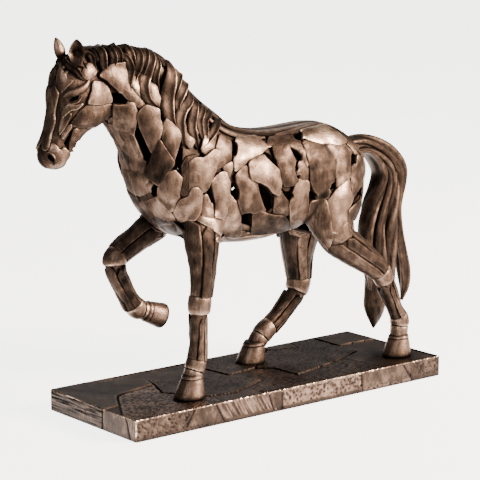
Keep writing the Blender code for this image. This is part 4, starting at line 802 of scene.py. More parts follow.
@functools.cache
def body_surface():
    """The body under the plates: all forms melted into one skin."""
    cast = Cast()
    for table, steps in ((TRUNK, 6), (HEAD, 6), (HAIR, 5)):
        rings = spine_rings(table, steps, SECTION_SIDES)
        cast.loft(rings, [[0.0] * SECTION_SIDES] * len(rings))
    for name, table in LIMBS.items():
        rings = [limb_ring(name, place, SECTION_SIDES) for place in np.arange(0, len(table) - 0.99, 0.125)]
        cast.loft(rings, [[0.0] * SECTION_SIDES] * len(rings))
    raw = scratch_object("forms", cast.data("forms"))
    melt = raw.modifiers.new("melt", "REMESH")
    melt.mode = "VOXEL"
    melt.voxel_size = SKIN_VOXEL
    soften = raw.modifiers.new("soften", "SMOOTH")
    soften.factor = 0.5
    soften.iterations = SKIN_ROUNDS
    data = evaluated_mesh(raw)
    bpy.data.objects.remove(raw)
    return Surface(data)


# Plates


def signed_area(outline):
    return sum(a.x * b.y - b.x * a.y for a, b in zip(outline, outline[1:] + outline[:1])) / 2


def rounded(corners, radius, spacing, wobble, seed, grow=0.0):
    """A closed outline with rounded corners and slightly uneven, hand-cut edges, grown outward a little."""
    corners = [Vector(c) for c in corners]
    points = []
    for before, corner, after in zip(corners[-1:] + corners[:-1], corners, corners[1:] + corners[:1]):
        back, on = before - corner, after - corner
        start = corner + back * min(radius / back.length, 0.42)
        end = corner + on * min(radius / on.length, 0.42)
        for t in (0, 0.25, 0.5, 0.75, 1):
            points.append(start * (1 - t) ** 2 + corner * (2 * t * (1 - t)) + end * t**2)
    fine = []
    for a, b in zip(points, points[1:] + points[:1]):
        count = max(1, round((b - a).length / spacing))
        fine += [a.lerp(b, i / count) for i in range(count)]
    noise.seed_set(EDGE_SEED)
    shaken = []
    for p in fine:
        shift = noise.noise_vector(Vector((p.x * 0.22, p.y * 0.22, seed)))
        shaken.append(p + Vector((shift.x, shift.y)) * wobble)
    kept = [shaken[0]]
    for p in shaken[1:]:
        if (p - kept[-1]).length > spacing * 0.3:
            kept.append(p)
    turn = 1 if signed_area(kept) > 0 else -1
    grown = []
    for before, p, after in zip(kept[-1:] + kept[:-1], kept, kept[1:] + kept[:1]):
        way = (after - before).normalized()
        grown.append(p + Vector((way.y, -way.x)) * (turn * grow))
    return grown


def cleared(outline, openings):
    """The outline of a plate, with what would lie over an opening drawn back to the opening's edge."""
    kept = list(outline)
    for opening in openings:
        rim = [Vector(c) for c in opening]
        _, inside = edge_distances(kept, rim)
        for i in np.nonzero(inside)[0]:
            edges = zip(rim, rim[1:] + rim[:1])
            nearest = []
            for a, b in edges:
                share = max(0.0, min(1.0, (kept[i] - a).dot(b - a) / (b - a).length_squared))
                nearest.append(a.lerp(b, share))
            kept[i] = min(nearest, key=lambda p: (p - kept[i]).length)
    spaced = [kept[0]]
    for p in kept[1:]:
        if (p - spaced[-1]).length > 0.25 and (p - kept[0]).length > 0.25:
            spaced.append(p)
    return spaced


def notched(corners, centre):
    """The corners of a plate with a notch cut in from its nearest edge to past a centre inside it."""
    centre = Vector(centre)
    corners = [Vector(c) for c in corners]
    if not edge_distances([centre], corners)[1][0]:
        return corners
    feet = []
    for i, (a, b) in enumerate(zip(corners, corners[1:] + corners[:1])):
        share = max(0.2, min(0.8, (centre - a).dot(b - a) / (b - a).length_squared))
        feet.append(((centre - a.lerp(b, share)).length, i, a.lerp(b, share), (b - a).normalized()))
    _, i, foot, edge = min(feet)
    aside = edge * NOTCH_HALF_WIDTH
    end = centre + (centre - foot).normalized() * NOTCH_PAST
    return corners[:i + 1] + [foot - aside, end - aside, end + aside, foot + aside] + corners[i + 1:]


def edge_distances(points, outline):
    """How far each point lies from the outline, and whether it is inside."""
    p = np.array([tuple(q) for q in points])[:, None, :]
    a = np.array([tuple(q) for q in outline])[None, :, :]
    b = np.roll(a, -1, axis=1)
    along = b - a
    share = np.clip(((p - a) * along).sum(2) / np.maximum((along**2).sum(2), 1e-12), 0, 1)
    distance = np.linalg.norm(p - (a + along * share[..., None]), axis=2).min(1)
    crosses = (a[..., 1] > p[..., 1]) != (b[..., 1] > p[..., 1])
    rise = np.where(crosses, b[..., 1] - a[..., 1], 1)
    meets = a[..., 0] + (p[..., 1] - a[..., 1]) * (b[..., 0] - a[..., 0]) / rise
    inside = (crosses & (p[..., 0] < meets)).sum(1) % 2 == 1
    return distance, inside


def filled(outline, spacing, steps_in):
    """Flat triangles that fill an outline, with rows of points at given distances inside its edge."""
    border = len(outline)
    turn = 1 if signed_area(outline) > 0 else -1
    extra, wanted = [], []
    for step in steps_in:
        for before, p, after in zip(outline[-1:] + outline[:-1], outline, outline[1:] + outline[:1]):
            way = (after - before).normalized()
            extra.append(p + Vector((-way.y, way.x)) * (turn * step))
            wanted.append(step * 0.86)
    low = np.min([tuple(p) for p in outline], axis=0)
    high = np.max([tuple(p) for p in outline], axis=0)
    for k, z in enumerate(np.arange(low[1] + spacing / 2, high[1], spacing * 0.87)):
        for x in np.arange(low[0] + spacing * (0.25 + 0.5 * (k % 2)), high[0], spacing):
            extra.append(Vector((x, z)))
            wanted.append(steps_in[-1] + spacing * 0.5)
    distance, inside = edge_distances(extra, outline)
    points = list(outline) + [p for p, d, i, w in zip(extra, distance, inside, wanted) if i and d >= w]
    verts, _, faces, _, _, _ = delaunay_2d_cdt(points, [], [list(range(border))], 1, 1e-4)
    distance, _ = edge_distances(verts, outline)
    return verts, faces, distance


def lay_plate(
    cast, corners, locate, level, look, seed, grow, spacing=2.0, radius=1.3, shade=1.0, openings=(),
):
    """A domed plate with rounded rims. locate gives the point on the skin and the way out for a drawn one."""
    outline = cleared(rounded(corners, radius, 1.2, look.wobble, seed, grow), openings)
    rims = (look.rim * 0.3, look.rim * 0.75, look.rim * 1.25)
    verts, faces, distance = filled(outline, spacing, rims)
    centre = sum(verts, Vector((0, 0))) / len(verts)
    chance = random.Random(seed)
    tilt_to = chance.uniform(0, 2 * math.pi)
    tilt = Vector((math.cos(tilt_to), math.sin(tilt_to))) * look.tilt
    tone = chance.uniform(-0.2, 0.2)
    reach = max(distance)
    tops, feet, rubs = [], [], []
    for v, d in zip(verts, distance):
        point, normal = locate(v)
        rim = math.sqrt(max(0.0, 1 - (1 - min(d / look.rim, 1)) ** 2))
        crown = 1 - (1 - min(d / reach, 1)) ** 2
        lean = max(-0.6, min(0.6, (v - centre).dot(tilt) / max(reach, 3)))
        dent = noise.noise(point * 0.16 + Vector((0, 0, seed)))
        height = level + lean + look.dome * crown * min(reach / 6, 1) + look.dent * dent * rim
        tops.append(point + normal * (height - look.rim * 0.75 * (1 - rim)))
        feet.append(point - normal * look.foot)
        # Rubbed bright along the rim, on the crown and on the high places between the dents
        band = math.exp(-(((d - look.rim * 0.6) / (look.rim * 0.6)) ** 2))
        # Painted light from above: brighter where the plate faces up, painted shade where it faces down
        painted_top_light = 0.5 + 0.5 * normal.z
        # shade is below 1 only on the legs, where it paints them darker: painted shade
        rubs.append(shade * (0.14 + tone + 0.26 * band + 0.12 * crown + 0.3 * painted_top_light + 0.24 * dent))
    start = cast.add(tops, rubs)
    below = cast.add(feet, [0.0] * len(feet))
    sides = set()
    for face in faces:
        cast.faces.append(tuple(start + i for i in face))
        cast.faces.append(tuple(below + i for i in reversed(face)))
        for i in range(len(face)):
            a, b = face[i], face[(i + 1) % len(face)]
            if (b, a) in sides:
                sides.remove((b, a))
            else:
                sides.add((a, b))
    for a, b in sorted(sides):
        cast.faces.append((start + b, start + a, below + a, below + b))


def seen_place(glass, mirrored):
    """The place on the skin of a point drawn on a glass, for lay_plate."""
    surface = body_surface()

    def locate(v):
        point = surface.seen(v.x, v.y, glass)
        if mirrored:
            point = surface.other_side(point)
        return point, surface.normal(point)

    return locate


def limb_place(name, mm_per_degree, mm_per_place):
    """The place on the skin of a point drawn on a leg unrolled flat, for lay_plate."""
    surface = body_surface()

    def locate(v):
        centre, rear, depth, width = limb_frame(name, v.x / mm_per_place)
        angle = math.radians(v.y / mm_per_degree)
        out = rear * (math.cos(angle) * depth) + Vector((0, math.sin(angle) * width, 0))
        point = surface.nearest(centre + out * 1.02)
        return point, surface.normal(point)

    return locate


def trunk_place(mm_per_degree, mm_per_place):
    """The place on the skin of a point drawn on the trunk unrolled flat: degrees run from crest to keel."""
    surface = body_surface()
    rows = on_curve(TRUNK, 20)

    def locate(v):
        at = min(max(v.x / mm_per_place, 0), len(TRUNK) - 1.001) * 20
        low = int(at)
        row = rows[low] + (rows[low + 1] - rows[low]) * (at - low)
        ring = spine_rings([row, row], 1, 2)
        crest, keel = ring[0][0], ring[0][1]
        angle = math.radians(v.y / mm_per_degree)
        share = 0.5 * (1 - math.cos(angle))
        point = crest.lerp(keel, share) + Vector((0, row[4] * math.sin(angle), 0))
        point = surface.nearest(point)
        return point, surface.normal(point)

    return locate


# Strips, locks and strands


def ribbon(cast, points, outward, half_widths, heights, foot=1.6, samples=8):
    """A strip along a path, domed across."""
    rings, rubs = [], []
    count = len(points)
    for i, point in enumerate(points):
        along = (points[min(i + 1, count - 1)] - points[max(i - 1, 0)]).normalized()
        up = (outward[i] - along * outward[i].dot(along)).normalized()
        across = along.cross(up)
        w, h = half_widths[i], heights[i]
        ring, rub = [point - across * w - up * foot], [0.0]
        for k in range(samples + 1):
            u = 2 * k / samples - 1
            crown = 1 - u * u
            level = h * (0.45 + 0.55 * crown) * (1 - 0.35 * abs(u) ** 3)
            ring.append(point + across * (w * u) + up * level)
            rub.append(0.12 + 0.5 * crown**2)
        ring.append(point + across * w - up * foot)
        rub.append(0.0)
        rings.append(ring)
        rubs.append(rub)
    cast.loft(rings, rubs)


def taper(share, at_ends):
    """How wide a strip is at a share of its length, from about at_ends at its ends to 1 in the middle."""
    return at_ends + (1 - at_ends) * math.sin(math.pi * (0.08 + 0.86 * share))


def evened(vectors, rounds=2):
    """A run of vectors with its small jumps smoothed out."""
    for _ in range(rounds):
        between = [(a + b * 2 + c) / 4 for a, b, c in zip(vectors, vectors[1:], vectors[2:])]
        vectors = [vectors[0], *between, vectors[-1]]
    return vectors


def mane_lock(cast, path, width, glass, mirrored):
    """A lock: a broad dark trough that rises behind to a thin bright edge. The path is that edge."""
    surface = body_surface()
    points = [surface.seen(x, z, glass) for x, z in on_curve(path, 8)]
    if mirrored:
        points = [surface.other_side(p) for p in points]
    outward = evened([surface.normal(p, 6.0) for p in points], 4)
    points = evened(points)
    count = len(points)
    rings, rubs = [], []
    for i, (point, up) in enumerate(zip(points, outward)):
        share = i / (count - 1)
        along = (points[min(i + 1, count - 1)] - points[max(i - 1, 0)]).normalized()
        up = (up - along * up.dot(along)).normalized()
        rearward = along.cross(up) if mirrored else up.cross(along)
        broad = width * (0.5 + 0.5 * math.sin(math.pi * min(1, share * 1.5) / 2)) * (1 - 0.9 * share**4)
        swell = 0.4 + 0.6 * math.sin(math.pi * (0.15 + 0.75 * share))
        high = LOCK_HEIGHT * min(1, 0.15 + share * 5) * swell
        lift = up * (LOCK_LIFT * math.sin(math.pi * share))
        rings.append([point + lift + rearward * (broad * u) + up * (high * v if v > -1 else -LOCK_FOOT)
                      for u, v, _ in LOCK_SECTION])
        shine = 0.55 + 0.5 * noise.noise(point * 0.12)
        rubs.append([rub * shine for _, _, rub in LOCK_SECTION])
    cast.loft(rings, rubs)


def comb_strand(cast, rows, lobes, phase):
    """A strand of the tail: an oval tube of lobes that wind slowly along it, with sharp grooves between."""
    placed = on_curve(rows, 8)
    sides = lobes * 10
    rings, rubs = [], []
    count = len(placed)
    for i, (x, y, z, half_width, half_thick) in enumerate(placed):
        before, after = placed[max(i - 1, 0)], placed[min(i + 1, count - 1)]
        along = Vector((after[0] - before[0], 0, after[2] - before[2])).normalized()
        across = Vector((-along.z, 0, along.x))
        ring, rub = [], []
        wind = phase + 1.1 * math.sin(i * 0.07 + phase) + 0.012 * i
        for k in range(sides):
            angle = 2 * math.pi * k / sides
            turned = (lobes * (angle + wind)) / 2
            lobe = abs(math.sin(turned))
            lean = 0.5 + 0.5 * math.cos(turned % math.pi)
            size = 1.02 - 0.24 * (1 - lobe) ** 1.5 + 0.05 * lean * lobe
            out = across * (half_width * math.cos(angle)) + Vector((0, half_thick * math.sin(angle), 0))
            ring.append(Vector((x, y, z)) + out * size)
            rub.append(0.02 + 0.2 * lobe + 0.55 * lobe * lean**3)
        rings.append(ring)
        rubs.append(rub)
    cast.loft(rings, rubs)


# Finishes


def linear(colour):
    """A linear colour with alpha from an sRGB hex value."""
    parts = [int(colour[i:i + 2], 16) / 255 for i in (1, 3, 5)]
    return (*[c / 12.92 if c <= 0.04045 else ((c + 0.055) / 1.055) ** 2.4 for c in parts], 1.0)


def node(tree, kind, settings=(), values=(), links=(), stops=()):
    """Adds a node with its settings, socket values, links from (node, output) pairs, and ramp stops."""
    made = tree.nodes.new(kind)
    for key, value in dict(settings).items():
        setattr(made, key, value)
    for key, value in dict(values).items():
        made.inputs[key].default_value = value
    for key, (source, output) in dict(links).items():
        tree.links.new(source.outputs[output], made.inputs[key])
    for i, (position, colour) in enumerate(stops):
        element = made.color_ramp.elements[i] if i < 2 else made.color_ramp.elements.new(position)
        element.position, element.color = position, colour
    return made


def cold_cast_bronze(name, patina, shade, roughness):
    """Bronze powder in resin, stained dark and dry-rubbed by hand: the stain stays in the hollows and pores,
    and the metal shines through on rims and crowns, a warm satin and not a mirror."""
    material = bpy.data.materials.new(name)
    material.use_nodes = True
    tree = material.node_tree
    shader = tree.nodes["Principled BSDF"]
    place = node(tree, "ShaderNodeTexCoord")
    # The rub attribute: rubbed metal, plus painted light and shade on the plates, the legs and the shell
    rubbed = node(tree, "ShaderNodeAttribute", {"attribute_name": "rub"})
    # Cloudy stain, patches about 12 mm across
    cloud = node(tree, "ShaderNodeTexNoise", values={"Scale": 1 / 0.012, "Detail": 5, "Roughness": 0.62},
                 links={"Vector": (place, "Object")})
    # Brushed streaks about 1.2 mm wide and 6 mm long, left by the rubbing cloth
    stretch = node(tree, "ShaderNodeMapping", values={"Scale": (0.35, 1, 0.2), "Rotation": (0.3, 0.5, 0.2)},
                   links={"Vector": (place, "Object")})
    streak = node(tree, "ShaderNodeTexNoise", values={"Scale": 1 / 0.0012, "Detail": 3, "Roughness": 0.6},
                  links={"Vector": (stretch, "Vector")})
    # Pores in the casting, about 1.1 mm apart, where the stain has stayed
    pores = node(tree, "ShaderNodeTexNoise", values={"Scale": 1 / 0.0011, "Detail": 2},
                 links={"Vector": (place, "Object")})
    specks = node(tree, "ShaderNodeMapRange",
                  values={"From Min": 0.62, "From Max": 0.72, "To Min": 1.0, "To Max": 0.45},
                  links={"Value": (pores, "Fac")})
    # Stain in the grooves, up to 4.5 mm across
    hollow = node(tree, "ShaderNodeAmbientOcclusion", {"samples": 6, "only_local": False},
                  {"Distance": 0.0045})
    clouded = node(tree, "ShaderNodeMath", {"operation": "MULTIPLY_ADD"}, {1: 0.5, 2: -0.25},
                   {0: (cloud, "Fac")})
    mixed = node(tree, "ShaderNodeMath", {"operation": "ADD"}, links={0: (rubbed, "Fac"), 1: (clouded, 0)})
    streaky = node(tree, "ShaderNodeMath", {"operation": "MULTIPLY_ADD"}, {1: 0.5, 2: -0.25},
                   {0: (streak, "Fac")})
    mixed = node(tree, "ShaderNodeMath", {"operation": "ADD"}, links={0: (mixed, 0), 1: (streaky, 0)})
    open_up = node(tree, "ShaderNodeMapRange", values={"From Min": 0.35, "From Max": 0.95},
                   links={"Value": (hollow, "AO")})
    mixed = node(tree, "ShaderNodeMath", {"operation": "MULTIPLY"},
                 links={0: (mixed, 0), 1: (open_up, "Result")})
    mixed = node(tree, "ShaderNodeMath", {"operation": "MULTIPLY"},
                 links={0: (mixed, 0), 1: (specks, "Result")})
    stops = [(position, (*[c * shade for c in colour[:3]], 1)) for position, colour in (
        (0.0, patina.stain), (0.28, patina.brown), (0.62, patina.copper), (0.95, patina.bright))]
    colour = node(tree, "ShaderNodeValToRGB", links={"Fac": (mixed, 0)}, stops=stops)
    gloss = node(tree, "ShaderNodeMapRange", values={"To Min": roughness + 0.26, "To Max": roughness - 0.05},
                 links={"Value": (mixed, 0)})
    rough = node(tree, "ShaderNodeMath", {"operation": "MULTIPLY_ADD"}, {1: 0.16, 2: -0.08},
                 {0: (streak, "Fac")})
    rough = node(tree, "ShaderNodeMath", {"operation": "ADD"}, links={0: (rough, 0), 1: (gloss, "Result")})
    coarse = node(tree, "ShaderNodeBump", values={"Strength": 0.35, "Distance": 0.0006},
                  links={"Height": (pores, "Fac")})
    fine = node(tree, "ShaderNodeBump", values={"Strength": 0.25, "Distance": 0.0003},
                links={"Height": (streak, "Fac"), "Normal": (coarse, "Normal")})
    tree.links.new(colour.outputs["Color"], shader.inputs["Base Color"])
    tree.links.new(rough.outputs[0], shader.inputs["Roughness"])
    tree.links.new(fine.outputs["Normal"], shader.inputs["Normal"])
    shader.inputs["Metallic"].default_value = 0.9
    return material


@functools.cache
def horse_bronze():
    patina = bpy.context.scene.horse_patina
    return cold_cast_bronze("rubbed cold-cast bronze", patina, 1.0, patina.roughness)


@functools.cache
def slab_bronze():
    """The same casting, with a darker stain and a coat of wax."""
    patina = bpy.context.scene.horse_patina
    return cold_cast_bronze("waxed cold-cast bronze", patina, patina.slabs, patina.roughness - 0.04)


def stage_finish(name, colour, roughness, glow=0.0):
    """A matt cloth or paper, which light may shine through."""
    material = bpy.data.materials.new(name)
    material.use_nodes = True
    shader = material.node_tree.nodes["Principled BSDF"]
    shader.inputs["Base Color"].default_value = colour
    shader.inputs["Roughness"].default_value = roughness
    shader.inputs["Emission Color"].default_value = colour
    shader.inputs["Emission Strength"].default_value = glow
    return material


# Settings


class HorsePlates(bpy.types.PropertyGroup):
    """How the plates of the shell are cut and laid."""

    rim: FloatProperty(name="Rim", description="Radius of a plate's rounded rim, in millimetres",
                       default=0.75, min=0.2, max=3)
    overlap: FloatProperty(name="Overlap", description="Reach of a plate past its drawn edge, in millimetres",
                           default=1.1, min=0, max=3)
    dome: FloatProperty(name="Dome", description="Height of a plate's middle above its rim, in millimetres",
                        default=0.8, min=0, max=4)
    foot: FloatProperty(name="Foot", description="How deep a plate is set below the skin, in millimetres",
                        default=1.5, min=0.5, max=4)
    tilt: FloatProperty(name="Tilt", description="How far a plate leans out of the skin, in millimetres",
                        default=0.45, min=0, max=2)
    dent: FloatProperty(name="Dent", description="Depth of the hand-worked dents, in millimetres",
                        default=0.3, min=0, max=1)
    wobble: FloatProperty(name="Wobble", description="Unevenness of the cut edges, in millimetres",
                          default=0.35, min=0, max=2)


class HorsePatina(bpy.types.PropertyGroup):
    """How the bronze is finished."""

    stain: FloatVectorProperty(name="Stain", description="Dark stain in the hollows", subtype="COLOR", size=4,
                               default=linear("#130e0b"), min=0, max=1)
    brown: FloatVectorProperty(name="Brown", description="Stained metal between hollows and crowns",
                               subtype="COLOR", size=4, default=linear("#48382e"), min=0, max=1)
    copper: FloatVectorProperty(name="Copper", description="Half-rubbed metal", subtype="COLOR", size=4,
                                default=linear("#937867"), min=0, max=1)
    bright: FloatVectorProperty(name="Bright", description="Metal rubbed bare on rims and crowns",
                                subtype="COLOR", size=4, default=linear("#f8dcbe"), min=0, max=1)
    slabs: FloatProperty(name="Slabs", description="How bright the plinth's metal is beside the horse's",
                         default=0.8, min=0, max=1)
    roughness: FloatProperty(name="Roughness", description="Roughness of the rubbed metal", default=0.33,
                             min=0.05, max=1)


class HorsePaving(bpy.types.PropertyGroup):
    """How the plinth is paved and worked."""

    grid: FloatProperty(name="Grid", description="Spacing of the mesh, in millimetres", default=0.65,
                        min=0.4, max=5)
    step: FloatProperty(name="Step", description="How far one slab lies below the next, in millimetres",
                        default=1.0, min=0, max=2)
    joint: FloatProperty(name="Joint", description="Depth of the joints, in millimetres", default=1.9,
                         min=0, max=3)
    edge: FloatProperty(name="Edge", description="Radius of the worn edges, in millimetres", default=1.3,
                        min=0.2, max=4)
    seed: IntProperty(name="Seed", description="Which of the possible pavings is laid", default=4, min=0)


class HorseStage(bpy.types.PropertyGroup):
    """The studio round the statue."""

    floor: FloatVectorProperty(name="Floor", description="Colour of the floor", subtype="COLOR", size=4,
                               default=linear("#f1efec"), min=0, max=1)
    glow: FloatProperty(name="Glow", description="How much light shines through the paper from below",
                        default=5.0, min=0, max=20)
    cloth: FloatProperty(name="Cloth", description="Depth of the dark cloth before the picture, in metres",
                         default=1.2, min=0, max=10)
    cloth_from: FloatProperty(name="Cloth From", description="How far from the statue it starts, in metres",
                              default=0.225, min=0, max=10)
    sky: FloatProperty(name="Sky", description="Brightness of the room all round", default=0.08,
                       min=0, max=10)
    lens: FloatProperty(name="Lens", description="Focal length on a 36 mm sensor", default=139.5,
                        min=10, max=400)


# Operators


class HORSE_OT_shell(bpy.types.Operator):
    """Cast the thin pierced shell that carries the plates"""

    bl_idname = "horse.shell"
    bl_label = "Cast Shell"

    def execute(self, context):
        surface = body_surface()
        shell = scratch_object("shell_work", self.lowered(surface.data.copy()))
        cutters = bpy.data.collections.new("shell cutters")
        context.scene.collection.children.link(cutters)
        self.add_cutters(cutters)
        hollow = Cast()
        rings = spine_rings(TRUNK[HOLLOW_ROWS[0]:HOLLOW_ROWS[1]], 4, SECTION_SIDES, HOLLOW_WALL)
        hollow.loft(rings, [[0.0] * SECTION_SIDES] * len(rings))
        inner = scratch_object("hollow", hollow.data("hollow"))
        for operand in (cutters, inner):
            cut = shell.modifiers.new("cut", "BOOLEAN")
            cut.operation = "DIFFERENCE"
            cut.solver = "MANIFOLD"
            if operand is inner:
                cut.object = operand
            else:
                cut.operand_type = "COLLECTION"
                cut.collection = operand
        done = evaluated_mesh(shell)
        for scrap in [shell, inner, *cutters.objects]:
            bpy.data.objects.remove(scrap)
        bpy.data.collections.remove(cutters)
        for attribute in [a for a in done.attributes if a.name == "rub"]:
            done.attributes.remove(attribute)
        # Deeper than 1.5 mm below the skin there is no rub: unrubbed stain, also painted shade inside the
        # hollow
        rub = []
        for v in done.vertices:
            deep = (surface.nearest(v.co) - v.co).length
            rub.append(0.0 if deep > 1.5 else 0.3 + 0.25 * noise.noise(v.co * 0.15))
        store_rub(done, rub)
        show("shell", done, horse_bronze(), "horse", 50)
        return {"FINISHED"}

    def lowered(self, data):
        """The skin, lowered a little everywhere behind the face, so that plates and locks stand out."""
        co, normals = (np.zeros(len(data.vertices) * 3) for _ in range(2))
        data.vertices.foreach_get("co", co)
        data.vertices.foreach_get("normal", normals)
        co, normals = co.reshape(-1, 3), normals.reshape(-1, 3)
        behind = np.clip((co[:, 0] - FACE_END) / FACE_FADE, 0, 1)
        behind = behind * behind * (3 - 2 * behind)
        low = np.where(co[:, 2] < LEGS_BELOW, LOWERED_LEGS, LOWERED_BODY)
        co -= normals * (behind * low)[:, None]
        data.vertices.foreach_set("co", co.ravel())
        return data

    def add_cutters(self, cutters):
        surface = body_surface()
        for glass, openings, depth in (
            (FLANK_GLASS, FLANK_OPENINGS, FLANK_REACH),
            (NECK_GLASS, NECK_OPENINGS, NECK_REACH),
            (HEAD_GLASS, FACE_POCKETS, POCKET_DEPTH),
        ):
            for i, corners in enumerate(openings):
                for mirrored in (False,) if corners in LEFT_ONLY else (False, True):
                    fine = rounded(corners, 1.2, 1.5, 0.25, i)
                    points = [surface.seen(p.x, p.y, glass) for p in fine]
                    if mirrored:
                        points = [surface.other_side(p) for p in points]
                    self.cutter(points, depth, cutters)
        for i, corners in enumerate(RIGHT_OPENINGS):
            fine = rounded(corners, 1.2, 1.5, 0.25, i + 0.5)
            points = [surface.nearest(Vector((p.x, 40, p.y))) for p in fine]
            self.cutter(points, FLANK_REACH, cutters)

    def cutter(self, points, depth, cutters):
        centre = sum(points, Vector()) / len(points)
        normal = body_surface().normal(centre, 5.0)
        cast = Cast()
        rings = []
        for level in (CUT_START, -depth):
            rings.append([p - normal * (p - centre).dot(normal) + normal * level for p in points])
        cast.loft(rings, [[0.0] * len(points)] * 2)
        made = bpy.data.objects.new("cutter", cast.data("cutter"))
        cutters.objects.link(made)


class HORSE_OT_plates(bpy.types.Operator):
    """Lay the domed plates on both flanks, the neck, the chest and the belly"""

    bl_idname = "horse.plates"
    bl_label = "Lay Plates"

    def execute(self, context):
        look = context.scene.horse_plates
        for label, glass, plates, openings in (
            ("flank_plates", FLANK_GLASS, FLANK_PLATES, FLANK_OPENINGS),
            ("neck_plates", NECK_GLASS, NECK_PLATES, NECK_OPENINGS),
        ):
            for side, mirrored in (("left", False), ("right", True)):
                cast = Cast()
                locate = seen_place(glass, mirrored)
                for i, (level, *corners) in enumerate(plates):
                    if mirrored and min(locate(Vector(c))[0].y for c in corners) < RIGHT_CLEARANCE:
                        continue
                    for centre in RIGHT_NOTCHES if mirrored and glass == FLANK_GLASS else ():
                        corners = notched(corners, centre)
                    seed = i + RIGHT_SEED * mirrored + len(label)
                    lay_plate(cast, corners, locate, level, look, seed, look.overlap, openings=openings)
                show(f"{label}_{side}", cast.data(label), horse_bronze(), "horse")
        self.lay_belly(look)
        return {"FINISHED"}

    def lay_belly(self, look):
        locate = trunk_place(BELLY_MM_PER_DEGREE, BELLY_MM_PER_PLACE)
        cast = Cast()
        seed = BELLY_SEED
        for first, last, near, far in BELLY_PLATES:
            for side in (-1, 1):
                seed += 1
                a, b = first * BELLY_MM_PER_PLACE, last * BELLY_MM_PER_PLACE
                c, d = side * near * BELLY_MM_PER_DEGREE, side * far * BELLY_MM_PER_DEGREE
                lean = (seed % 3 - 1) * 2.0
                corners = ((a, d), (a + lean, c), ((a + b) / 2, c - side * 3), (b + lean, c), (b, d))
                lay_plate(cast, corners, locate, 0.7 + 0.25 * (seed % 3), look, seed, look.overlap)
        show("belly_plates", cast.data("belly_plates"), horse_bronze(), "horse")


class HORSE_OT_spine(bpy.types.Operator):
    """Run the long strips from the withers to the dock"""

    bl_idname = "horse.spine"
    bl_label = "Run Spine Strips"

    def execute(self, context):
        surface = body_surface()
        cast = Cast()
        for *path, half_width in SPINE_STRIPS:
            points = evened([surface.nearest(Vector(p)) for p in on_curve(path, 5)], 3)
            outward = evened([surface.normal(p, 8.0) for p in points], 6)
            count = len(points)
            widths = [half_width * taper(i / (count - 1), 0.25) for i in range(count)]
            heights = [1.3 * taper(i / (count - 1), 0.5) for i in range(count)]
            ribbon(cast, points, outward, widths, heights, foot=2.6, samples=12)
        show("spine_strips", cast.data("spine_strips"), horse_bronze(), "horse")
        return {"FINISHED"}


class HORSE_OT_mane(bpy.types.Operator):
    """Comb the locks of the mane over both sides of the crest"""

    bl_idname = "horse.mane"
    bl_label = "Comb Mane"

    def execute(self, context):
        for side, mirrored in (("left", False), ("right", True)):
            cast = Cast()
            for *path, width in MANE_LOCKS:
                mane_lock(cast, path, width, NECK_GLASS, mirrored)
            show(f"mane_{side}", cast.data("mane"), horse_bronze(), "horse", 60)
        return {"FINISHED"}


class HORSE_OT_tail(bpy.types.Operator):
    """Comb the strands of the tail"""

    bl_idname = "horse.tail"
    bl_label = "Comb Tail"

    def execute(self, context):
        cast = Cast()
        for i, (lobes, *rows) in enumerate(TAIL_STRANDS):
            comb_strand(cast, rows, lobes, STRAND_PHASE * i)
        show("tail", cast.data("tail"), horse_bronze(), "horse", 60)
        return {"FINISHED"}


class HORSE_OT_legs(bpy.types.Operator):
    """Lay the long plates, bands and hooves of the legs"""

    bl_idname = "horse.legs"
    bl_label = "Build Legs"

    def execute(self, context):
        look = context.scene.horse_plates
        for leg in LIMBS:
            cast = Cast()
            self.plates(cast, leg, look)
            self.bands(cast, leg)
            self.hoof(cast, leg)
            show(f"{leg}_leg", cast.data(leg), horse_bronze(), "horse")
        return {"FINISHED"}

    def plates(self, cast, leg, look):
        locate = limb_place(leg, LEG_MM_PER_DEGREE, LEG_MM_PER_PLACE)
        seed = LEG_SEED
        for name, start, end, meets in LEG_PLATES:
            for i, (left, right) in enumerate(zip(meets, meets[1:])):
                seed += 1
                if name != leg:
                    continue
                first = start + 0.25 * (i % 2)
                middle = (left + right) / 2
                corners = [
                    (place * LEG_MM_PER_PLACE, degrees * LEG_MM_PER_DEGREE)
                    for place, degrees in (
                        (first, middle), (first + 0.4, left + 2), (end, left + 2), (end, right - 2),
                        (first + 0.3, right - 2),
                    )
                ]
                level = 0.5 + 0.3 * (i % 2)
                # The legs' plates are painted darker than the body's: painted shade
                lay_plate(cast, corners, locate, level, look, seed, 0.05, 1.6, 0.9, LEG_PAINTED_SHADE)

    def bands(self, cast, leg):
        for name, start, end, swell in BANDS:
            if name != leg:
                continue
            rings, rubs = [], []
            for share, out, rub in BAND_SECTION:
                rings.append(limb_ring(leg, start + (end - start) * share, SECTION_SIDES, swell * out))
                rubs.append([rub] * SECTION_SIDES)
            cast.loft(rings, rubs)

    def hoof(self, cast, leg):
        """A hoof: a band of hair at the coronet, then a wall that flares to a flat sole."""
        coronet, sole, top_size, sole_size = HOOVES[leg]
        start, end = Vector(coronet), Vector(sole)
        axis = end - start
        fore = Vector((1, 0, 0)) if sole[2] == GROUND else Vector((-axis.z, 0, axis.x)).normalized()
        rings, rubs = [], []
        for share, widen, swell, rub in HOOF_SECTION:
            centre = start + axis * share
            depth = top_size[0] + (sole_size[0] - top_size[0]) * widen + swell
            width = top_size[1] + (sole_size[1] - top_size[1]) * widen + swell
            ring = []
            for i in range(SECTION_SIDES):
                angle = 2 * math.pi * i / SECTION_SIDES
                across = Vector((0, width * math.sin(angle), 0))
                ring.append(centre + fore * (depth * math.cos(angle)) + across)
            rings.append(ring)
            rubs.append([rub] * SECTION_SIDES)
        cast.loft(rings, rubs)


